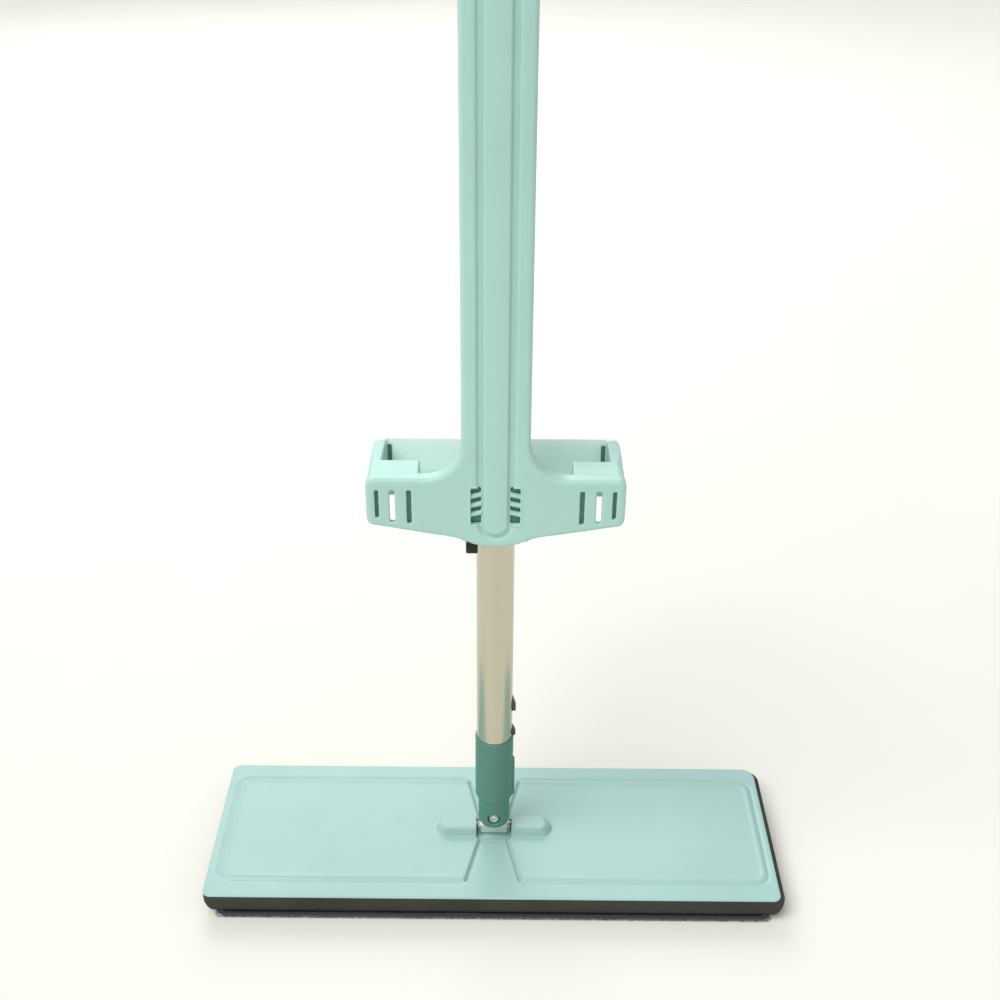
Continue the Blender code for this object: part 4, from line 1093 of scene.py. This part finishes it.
def make_foam():
    """The cushion has a lip that fills the rebate under the plate's rim, and slanted ends below.

    Its outline is given by insets at the left end, the right end and the two sides; the right
    end stands a little proud of the plate.
    """
    low, high = FOAM_LOW.z, FOAM_HIGH.z
    lip = RIM_LOW - 0.3
    profile = ((2.3, 4.1, 2.3, high), (2.2, 4.0, 2.2, lip), (0.6, -0.3, 0.6, lip),
               (0.2, -0.7, 0.2, lip - 0.35), (0.12, -0.8, 0.12, lip - 3.0), (0.3, -0.6, 0.3, lip - 5.5),
               (0.25, -0.5, 0.2, low + 5.2), (1.3, 0.5, 0.3, low + 2.2), (2.4, 1.6, 0.7, low + 0.3),
               (3.0, 2.2, 1.2, low))
    rings = [ring(FOAM_HIGH.x - left, FOAM_HIGH.y - side, PLATE_CORNER - min(left, side), z,
                  right=FOAM_HIGH.x - right, rear_right=REAR_RIGHT_CORNER - right)
             for left, right, side, z in profile]
    place(lofted("foam_cushion", rings, FOAM, 50), "head", ["foam_base"], "foam")


PAD_HALF = (173.0, 60.7)
PAD_FACE = 5.0
PAD_SWELL = 1.2
PAD_RIB = 9.0
PAD_CORNER = 6.0
CLOTH_FRAMES = 20
PAD_VOXEL = 2.2 * MM


def simulate_pad(pad):
    """A short inflation that rounds the pad's edges and gives its faces a little slack."""
    start = np.array([v.co for v in pad.data.vertices])
    cloth = pad.modifiers.new("cloth", "CLOTH")
    settings = cloth.settings
    settings.quality = 5
    settings.mass = 0.2
    settings.tension_stiffness = 12.0
    settings.compression_stiffness = 8.0
    settings.shear_stiffness = 6.0
    settings.bending_stiffness = 0.4
    settings.use_pressure = True
    settings.uniform_pressure_force = 4.0
    settings.effector_weights.gravity = 0.0
    cloth.collision_settings.use_collision = False
    scene = bpy.context.scene
    for number in range(1, CLOTH_FRAMES + 1):
        scene.frame_set(number)
    evaluated = pad.evaluated_get(bpy.context.evaluated_depsgraph_get())
    end = np.array([v.co for v in evaluated.data.vertices])
    pad.modifiers.clear()
    scene.frame_set(1)
    shift = end - start
    length = np.linalg.norm(shift, axis=1, keepdims=True)
    shift *= np.minimum(1.0, PAD_SWELL * MM / np.maximum(length, 1e-9))
    pad.data.vertices.foreach_set("co", (start + shift).ravel())


def make_pad():
    """The pad: rounded by the cloth simulation, ribbed underneath, with slightly wandering sides."""
    profile = ((3.4, PAD_FACE - 0.4), (1.6, PAD_FACE), (0.5, PAD_FACE - 0.3), (0.0, 3.2), (0.2, 1.6),
               (1.0, 0.7), (3.0, 0.4))
    half_x, half_y = PAD_HALF[0] - PAD_SWELL, PAD_HALF[1] - PAD_SWELL
    rings = [ring(half_x - inset, half_y - inset, PAD_CORNER, z) for inset, z in profile]
    pad = lofted("mop_pad", rings, PILE)
    remesh = pad.modifiers.new("remesh", "REMESH")
    remesh.mode = "VOXEL"
    remesh.voxel_size = PAD_VOXEL
    remesh.use_smooth_shade = True
    apply_modifiers(pad)
    simulate_pad(pad)
    subdivide = pad.modifiers.new("subdivide", "SUBSURF")
    subdivide.levels = subdivide.render_levels = 1
    apply_modifiers(pad)
    co = np.array([v.co for v in pad.data.vertices]) / MM
    x = co[:, 0]
    wander = 0.45 * np.sin(x / 13.0) + 0.35 * np.sin(x / 5.1 + 1.3) + 0.3 * np.sin(x / 29.0)
    rim = smoothstep(np.abs(co[:, 1]), PAD_HALF[1] - 6, PAD_HALF[1] - 1) * np.sign(co[:, 1])
    co[:, 1] += wander * rim * 0.6
    under = smoothstep(-co[:, 2], -1.6, -0.6)
    rib = 0.45 * (1.0 - np.abs(np.sin(co[:, 1] * math.pi / PAD_RIB)) ** 0.6)
    proud = smoothstep(np.abs(co[:, 1]), FOAM_HIGH.y - 1.6, FOAM_HIGH.y - 0.2)
    co[:, 2] = np.clip(co[:, 2] + rib * under, 0.12, PAD_FACE + 0.2 + 0.2 * proud)
    pad.data.vertices.foreach_set("co", (co * MM).ravel())
    pad.data.update()
    if not pad.data.materials:
        pad.data.materials.append(PILE)
    place(pad, "head", ["microfibre_pad"], "microfibre")
    make_edge_binding()
    make_pile_fringe()


TAPE_SIDES = 10


def make_edge_binding():
    """The sewn tape around the pad's upper edge."""
    path = ring(PAD_HALF[0] - 0.5, PAD_HALF[1] - 0.5, PAD_CORNER, 3.4, 10)
    angles = [math.tau * k / TAPE_SIDES for k in range(TAPE_SIDES)]
    section = [(0.9 * math.cos(angle), 1.3 * math.sin(angle)) for angle in angles]
    verts, faces = [], []
    count = len(path)
    for index, (x, y, z) in enumerate(path):
        before, after = path[index - 1], path[(index + 1) % count]
        along = Vector((after[0] - before[0], after[1] - before[1], 0.0)).normalized()
        outward = Vector((along.y, -along.x, 0.0))
        for du, dz in section:
            verts.append((x + outward.x * du, y + outward.y * du, z + dz))
    for index in range(count):
        a, b = index * TAPE_SIDES, (index + 1) % count * TAPE_SIDES
        for k in range(TAPE_SIDES):
            after = (k + 1) % TAPE_SIDES
            faces.append((a + k, b + k, b + after, a + after))
    place(add_mesh("pad_binding", verts, faces, BINDING), "head", slot="microfibre")


FRINGE_COUNT = 5200


def make_pile_fringe():
    """Loose pile that shows as short fibres around the pad's edge."""
    rng = np.random.default_rng(7)
    verts, faces = [], []
    lengths = (2 * PAD_HALF[0], 2 * PAD_HALF[1])
    for _ in range(FRINGE_COUNT):
        along = rng.uniform(0, 2 * sum(lengths))
        if along < 2 * lengths[0]:
            side = 1 if along < lengths[0] else -1
            root = np.array([along % lengths[0] - PAD_HALF[0], side * (PAD_HALF[1] - 0.8), 0.0])
            outward = np.array([0.0, side, 0.0])
        else:
            along -= 2 * lengths[0]
            side = 1 if along < lengths[1] else -1
            root = np.array([side * (PAD_HALF[0] - 0.8), along % lengths[1] - PAD_HALF[1], 0.0])
            outward = np.array([side, 0.0, 0.0])
        root[:2] = np.clip(root[:2], -np.array(PAD_HALF) + 2.0, np.array(PAD_HALF) - 2.0)
        root += outward * 1.4
        root[2] = rng.uniform(0.3, 2.4)
        sway = np.array([outward[1], outward[0], 0.0]) * rng.normal(0.0, 0.7)
        reach = rng.uniform(0.15, 0.6)
        width = rng.uniform(0.07, 0.14)
        first = len(verts)
        for level in range(4):
            t = level / 3
            centre = root + outward * reach * t + sway * t * t
            centre[2] = max(0.12, centre[2] - 0.8 * t * t)
            thin = width * (1.0 - 0.8 * t)
            for corner in range(3):
                angle = math.tau * corner / 3
                offset = np.array([outward[1], outward[0], 0.0]) * math.cos(angle) * thin
                verts.append(tuple(centre + offset + np.array([0, 0, math.sin(angle) * thin])))
        for level in range(3):
            for corner in range(3):
                a, b = first + level * 3, first + level * 3 + 3
                faces.append((a + corner, a + (corner + 1) % 3, b + (corner + 1) % 3, b + corner))
        faces.append((first + 2, first + 1, first))
        faces.append((first + 9, first + 10, first + 11))
    place(add_mesh("pile_fringe", verts, faces, PILE), "head", slot="microfibre")


# ---- pivot

KNUCKLE = 3.85


def bracket_field(x, y, z):
    half = BRACKET_HIGH.x - 0.7
    outline = [(-half, PIN_Z - 1), (half, PIN_Z - 1)] + arc((0, RIVET_Z), half, 0, 180, 24)
    blade = extruded(polygon_field(x, z, outline), y, -1.5, 1.5, 0.5)
    knuckle = box_field(x, y, z, (-half, -KNUCKLE, PIN_Z - KNUCKLE), (half, KNUCKLE, PIN_Z + KNUCKLE), 1.5)
    body = blend_union(blade, knuckle, 1.4)
    body = cut(body, circle_field(y, z, (0.0, PIN_Z), PIN_HIGH.z - PIN_Z + 0.2))
    body = cut(body, circle_field(x, z, (0.0, RIVET_Z), 2.25))
    seam = box_field(x, y, z, (-half - 1, 1.6, PIN_Z + 2.2), (half + 1, 6.0, PIN_Z + 2.55))
    return cut(body, seam)


def make_pivot():
    bracket = implicit("pivot_bracket", bracket_field, steps((-10.3, 10.3, 0.3)), steps((-4.8, 4.8, 0.25)),
                       steps((16.8, 47.2, 0.3)), PAINTED_LIGHT_ZINC)
    place(bracket, "yoke", ["yoke_bracket"], "zinc_steel")
    front, rear = -RIVET_LOW.y, -RIVET_HIGH.y
    head, shank = 3.3, 1.95
    profile = [(0.0, front - 0.15), (0.7, front - 0.20), (1.2, front - 0.42), (1.5, front - 0.9),
               (2.1, front - 0.95), (2.4, front - 0.25), (2.8, front - 0.15), (head - 0.15, front - 0.45),
               (head, front - 0.8), (head, front - 1.25), (shank, front - 1.3), (shank, rear + 1.3),
               (head, rear + 1.25), (head, rear + 0.8), (2.6, rear + 0.2), (0.0, rear + 0.02)]
    rivet = turned("pivot_rivet", profile, ZINC, 48, 50)
    moved(rivet, Matrix.Translation((0, 0, RIVET_Z * MM)) @ Matrix.Rotation(math.radians(90), 4, "X"))
    place(rivet, "pole", ["clevis_rivet"], "zinc_steel")


# ---- upper pole

def make_pole_fittings():
    low, high = JOINT_LOW.z, JOINT_HIGH.z
    middle = (low + high) / 2
    inner = TUBE_R - 1.25
    ridge = [(TUBE_R - 0.05, middle + 2.15), (TUBE_R - 0.05, middle + 0.6), (TUBE_R - 0.45, middle + 0.3),
             (TUBE_R - 0.45, middle - 0.3), (TUBE_R - 0.05, middle - 0.6), (TUBE_R - 0.05, middle - 2.15)]
    profile = ([(0.0, high), (inner - 0.8, high), (inner, high - 0.8), (inner, middle + 2.2)] + ridge
               + [(inner, middle - 2.2), (inner, low + 0.8), (inner - 0.8, low), (0.0, low)])
    place(turned("pole_joint", profile, TEAL, 96), "pole", ["tube_joint"], "teal")
    make_grip()
    make_end_cap()


def make_grip():
    """A soft sleeve with finger rings over most of its length."""
    low, high, radius, bore = GRIP_LOW.z, GRIP_HIGH.z, GRIP_HIGH.x, TUBE_R + 0.3
    profile = [(bore, high), (radius - 1.0, high), (radius - 0.3, high - 1.0), (radius, high - 3.0)]
    rings, pitch = 17, 5.6
    for number in range(rings):
        z = high - 12.0 - number * pitch
        waist = 1.1 * math.sin(math.pi * (number + 0.5) / rings)
        crest = radius - 0.1 - waist
        profile += [(crest, z + 1.9), (crest - 0.25, z + 1.4), (crest - 0.75, z + 1.1),
                    (crest - 0.75, z - 0.1), (crest - 0.25, z - 0.4), (crest, z - 0.9)]
    profile += [(radius, low + 9.0), (radius - 0.4, low + 4.0), (bore + 1.6, low + 0.6),
                (bore + 0.9, low), (bore, low)]
    place(turned("soft_grip", profile, GRIP, 72, 55), "pole", ["hand_grip"], "grip")


EYE_HALF = 6.5
EYE = (1224.0, 1248.0)


def cap_field(x, y, z):
    """A round skirt over the grip's end and a flat tab with the hanging eye."""
    low, high = CAP_LOW.z, CAP_HIGH.z
    skirt = extruded(np.hypot(x, y) - CAP_HIGH.x, z, low, low + 10.0, 1.6)
    outline = arc((0, high - 12.0), 12.0, 0, 180, 20) + [(-13.4, low + 3), (13.4, low + 3)]
    tab = extruded(polygon_field(x, z, outline), y, -4.5, 4.5, 2.0)
    body = blend_union(skirt, tab, 4.0)
    eye = rectangle_field(x, z, (-EYE_HALF, EYE[0]), (EYE_HALF, EYE[1]), EYE_HALF - 0.1)
    body = blend_cut(body, eye, 1.6)
    groove = np.abs(z - low - 5.5) - 0.5
    return cut(body, overlap(groove, CAP_HIGH.x - 0.5 - np.hypot(x, y)))


def make_end_cap():
    low, high = CAP_LOW.z, CAP_HIGH.z
    cap = implicit("hanging_cap", cap_field, steps((-15.2, 15.2, 0.5)), steps((-15.2, 15.2, 0.5)),
                   steps((low - 0.7, high + 0.8, 0.5)), TEAL)
    place(cap, "pole", ["end_cap"], "teal")


# ---- sleeve fittings

def make_collar():
    low, high, radius, bore = COLLAR_LOW.z, COLLAR_HIGH.z, COLLAR_HIGH.x, TUBE_R + 0.2
    profile = [(bore, high), (radius - 0.4, high), (radius, high - 0.4), (radius, high - 4.0)]
    for number in range(9):
        z = high - 6.0 - number * 3.0
        profile += [(radius - 0.4, z + 0.9), (radius - 0.4, z - 0.1),
                    (radius - 0.9, z - 0.3), (radius - 0.9, z - 1.0)]
    profile += [(radius, low + 4.0), (radius, low + 0.4), (radius - 0.4, low), (bore, low)]
    place(turned("friction_collar", profile, BLACK, 72), "collar", ["slide_collar"], "black_plastic")


def make_guides():
    for node, name in (("guide_lower", "guide_ring_lower"), ("guide_upper", "guide_ring_upper")):
        low, high = box_mm(node)
        middle = (low.z + high.z) / 2

        def field(x, y, z):
            body = box_field(x, y, z, low, high, 1.0)
            body = overlap(body, 11.5 - np.hypot(x, y))
            groove = overlap(np.abs(z - middle) - 2.2, -rectangle_field(
                x, y, (low.x + 1.0, low.y + 1.0), (high.x - 1.0, high.y - 1.0), 1.0))
            hole = circle_field(np.abs(x), z, (COVER_SCREW_X, middle), 1.25)
            body = cut(body, overlap(hole, high.y - 8.8 - y))
            return cut(body, groove)

        guide = implicit(name, field, *around(low, high, (0.9,) * 3, (0.55,) * 3), BLACK)
        place(guide, "sleeve", [node], "black_plastic")


COVER_SCREW_X = 14.1


def cover_field(x, y, z):
    body = box_field(x, y, z, COVER_LOW, COVER_HIGH, 0.9)
    for number in range(1, 5):
        low, high = box_mm(f"cover_screw_{number}")
        place_x, place_z = (low.x + high.x) / 2, (low.z + high.z) / 2
        radius = np.sqrt((x - place_x) ** 2 + (z - place_z) ** 2)
        body = overlap(body, 1.3 - radius)
        dish = overlap(radius - 3.0, COVER_HIGH.y - 0.45 - y)
        body = blend_cut(body, dish, 0.3)
    panel = rectangle_field(x, z, (COVER_LOW.x + 4.0, COVER_LOW.z + 90),
                            (COVER_HIGH.x - 4.0, COVER_HIGH.z - 20), 3.0)
    return blend_cut(body, overlap(panel, COVER_HIGH.y - 0.5 - y), 0.4)


def make_cover():
    low, high = COVER_LOW, COVER_HIGH
    zs = steps((low.z - 0.8, low.z + 100.0, 0.6), (low.z + 100.0, high.z - 26.0, 8.0),
               (high.z - 26.0, high.z + 0.8, 0.6))
    cover = implicit("channel_cover", cover_field, steps((low.x - 0.8, high.x + 0.8, 0.6)),
                     steps((low.y - 0.6, high.y + 0.6, 0.3)), zs, MINT)
    place(cover, "sleeve", ["back_cover"], "mint_abs")


def lid_field(x, y, z):
    outline = rectangle_field(x, y, LID_LOW.xy, LID_HIGH.xy, 3.2)
    body = extruded(outline, z, LID_LOW.z, LID_HIGH.z, 1.6)
    hole = 11.5 - np.hypot(x, y)
    body = blend_cut(body, -hole, 1.0)
    return blend_cut(body, overlap(-(outline + 0.5), np.abs(z - LID_LOW.z - 2.4) - 0.35), 0.2)


def make_lid():
    grid = around(LID_LOW, LID_HIGH, (0.8, 0.8, 0.7), (0.5, 0.5, 0.35))
    lid = implicit("channel_lid", lid_field, *grid, TEAL)
    place(lid, "sleeve", ["sleeve_cap"], "teal")


def make_screws():
    """Pan heads with a cross recess; every screw points along Y with its head at the rear."""
    names = [f"frame_screw_{n}" for n in range(1, 5)] + [f"cover_screw_{n}" for n in range(1, 5)]
    for name in names:
        low, high = box_mm(name)
        radius = (high.x - low.x) / 2
        centre_x, centre_z = (low.x + high.x) / 2, (low.z + high.z) / 2
        shank = radius * 0.5
        underside = high.y - radius * 0.62

        def field(x, y, z):
            r = np.sqrt((x - centre_x) ** 2 + (z - centre_z) ** 2)
            dome = high.y - 0.35 * (r / radius) ** 2
            head = overlap(overlap(r - radius, underside - y), y - dome)
            stem = overlap(r - shank, overlap(low.y - y, y - high.y + 0.6))
            body = union(head, stem)
            u, v = np.abs(x - centre_x), np.abs(z - centre_z)
            arm = radius * 0.58
            cross = union(overlap(u - 0.28, v - arm), overlap(v - 0.28, u - arm))
            return cut(body, overlap(cross, high.y - 0.75 - y))

        grid = steps((-radius - 0.4, radius + 0.4, 0.16))
        ys = steps((low.y - 0.4, underside - 0.3, 0.6), (underside - 0.3, high.y + 0.3, 0.14))
        screw = implicit(name.replace("screw", "fastener"), field, centre_x + grid, ys, centre_z + grid, ZINC)
        place(screw, "sleeve", [name], "zinc_steel")


def make_roller():
    radius, half = ROLLER_HIGH.y - ROLLER_MIDDLE.y, ROLLER_HIGH.x
    profile = [(AXLE_BORE, half), (radius - 0.8, half), (radius, half - 0.8)]
    grooves, pitch = 19, 6.0
    for number in range(grooves):
        z = (grooves - 1) * pitch / 2 - number * pitch
        profile += [(radius, z + 1.0), (radius - 0.5, z + 0.6), (radius - 0.5, z - 0.6), (radius, z - 1.0)]
    profile += [(radius, 0.8 - half), (radius - 0.8, -half), (AXLE_BORE, -half)]
    roller = turned("pad_roller", profile, ACETAL, 48, 40)
    turn = Matrix.Rotation(math.radians(90), 4, "Y")
    moved(roller, Matrix.Translation((0, ROLLER_MIDDLE.y * MM, ROLLER_MIDDLE.z * MM)) @ turn)
    place(roller, "roller", ["squeeze_roller"], "roller")


SPRING_TURNS = 7
SPRING_SIDES = 24
SPRING_WIRE_R = 0.35
SPRING_WIRE_SIDES = 10


def button_field(x, y, z):
    body = box_field(x, y, z, BUTTON_LOW, BUTTON_HIGH, 0.8)
    for number in range(4):
        ridge_z = BUTTON_LOW.z + 1.8 + number * 1.5
        body = cut(body, overlap(np.abs(z - ridge_z) - 0.3, y - BUTTON_LOW.y - 0.4))
    return body


def make_button():
    low, high = BUTTON_LOW, BUTTON_HIGH
    xs, ys, _ = around(low, high, (0.6,) * 3, (0.3, 0.25, 0.3))
    zs = steps((low.z - 0.6, low.z + 9.0, 0.22), (low.z + 9.0, high.z - 2.0, 2.0),
               (high.z - 2.0, high.z + 0.6, 0.3))
    button = implicit("release_button", button_field, xs, ys, zs, BLACK)
    place(button, "lock", ["lock_button"], "black_plastic")


def make_spring():
    """The button's return spring, wound from wire with closed end coils."""
    low, high = SPRING_LOW, SPRING_HIGH
    centre = (low + high) / 2
    coil_r = (high.x - low.x) / 2 - SPRING_WIRE_R
    bottom, top = low.z + SPRING_WIRE_R, high.z - SPRING_WIRE_R
    count = SPRING_TURNS * SPRING_SIDES
    verts, faces = [], []
    for index in range(count + 1):
        share = index / count
        angle = math.tau * share * SPRING_TURNS
        rise = bottom + (top - bottom) * float(smoothstep(share, 0.0, 1.0))
        for corner in range(SPRING_WIRE_SIDES):
            turn = math.tau * corner / SPRING_WIRE_SIDES
            radius = coil_r + SPRING_WIRE_R * math.cos(turn)
            verts.append((centre.x + radius * math.cos(angle), centre.y + radius * math.sin(angle),
                          rise + SPRING_WIRE_R * math.sin(turn)))
    for index in range(count):
        a, b = index * SPRING_WIRE_SIDES, (index + 1) * SPRING_WIRE_SIDES
        for corner in range(SPRING_WIRE_SIDES):
            after = (corner + 1) % SPRING_WIRE_SIDES
            faces.append((a + corner, b + corner, b + after, a + after))
    faces.append(tuple(range(SPRING_WIRE_SIDES)))
    faces.append(tuple(reversed(range(count * SPRING_WIRE_SIDES, len(verts)))))
    spring = place(add_mesh("return_spring", verts, faces, ZINC), "sleeve", ["lock_spring"], "zinc_steel")
    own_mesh(spring)


# ---- materials of the CAD nodes that stay

CAD_MATERIALS = {
    "pivot_pin": ZINC, "roller_axle": ZINC, "spring_seat": MINT,
    "pin_retainer_left": PLATE_MINT, "pin_retainer_right": PLATE_MINT,
    "pivot_washer_left": DARK_TEAL, "pivot_washer_right": DARK_TEAL,
    "hook_strip_front": HOOKS, "hook_strip_rear": HOOKS,
}


def dress_cad_nodes():
    for name, material in CAD_MATERIALS.items():
        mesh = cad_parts[name].data
        mesh.materials.clear()
        mesh.materials.append(material)


make_camera()
make_light()
make_floor(floor_material())
dress_cad_nodes()
make_shell()
make_spine()
make_rear_frame()
make_window_shade()
make_wing_slot_shade()
make_end_slot_shade()
make_connector()
make_tubes()
make_plate()
make_foam()
make_pad()
make_pivot()
make_pole_fittings()
make_collar()
make_guides()
make_cover()
make_lid()
make_screws()
make_roller()
make_button()
make_spring()

write_size("visual")
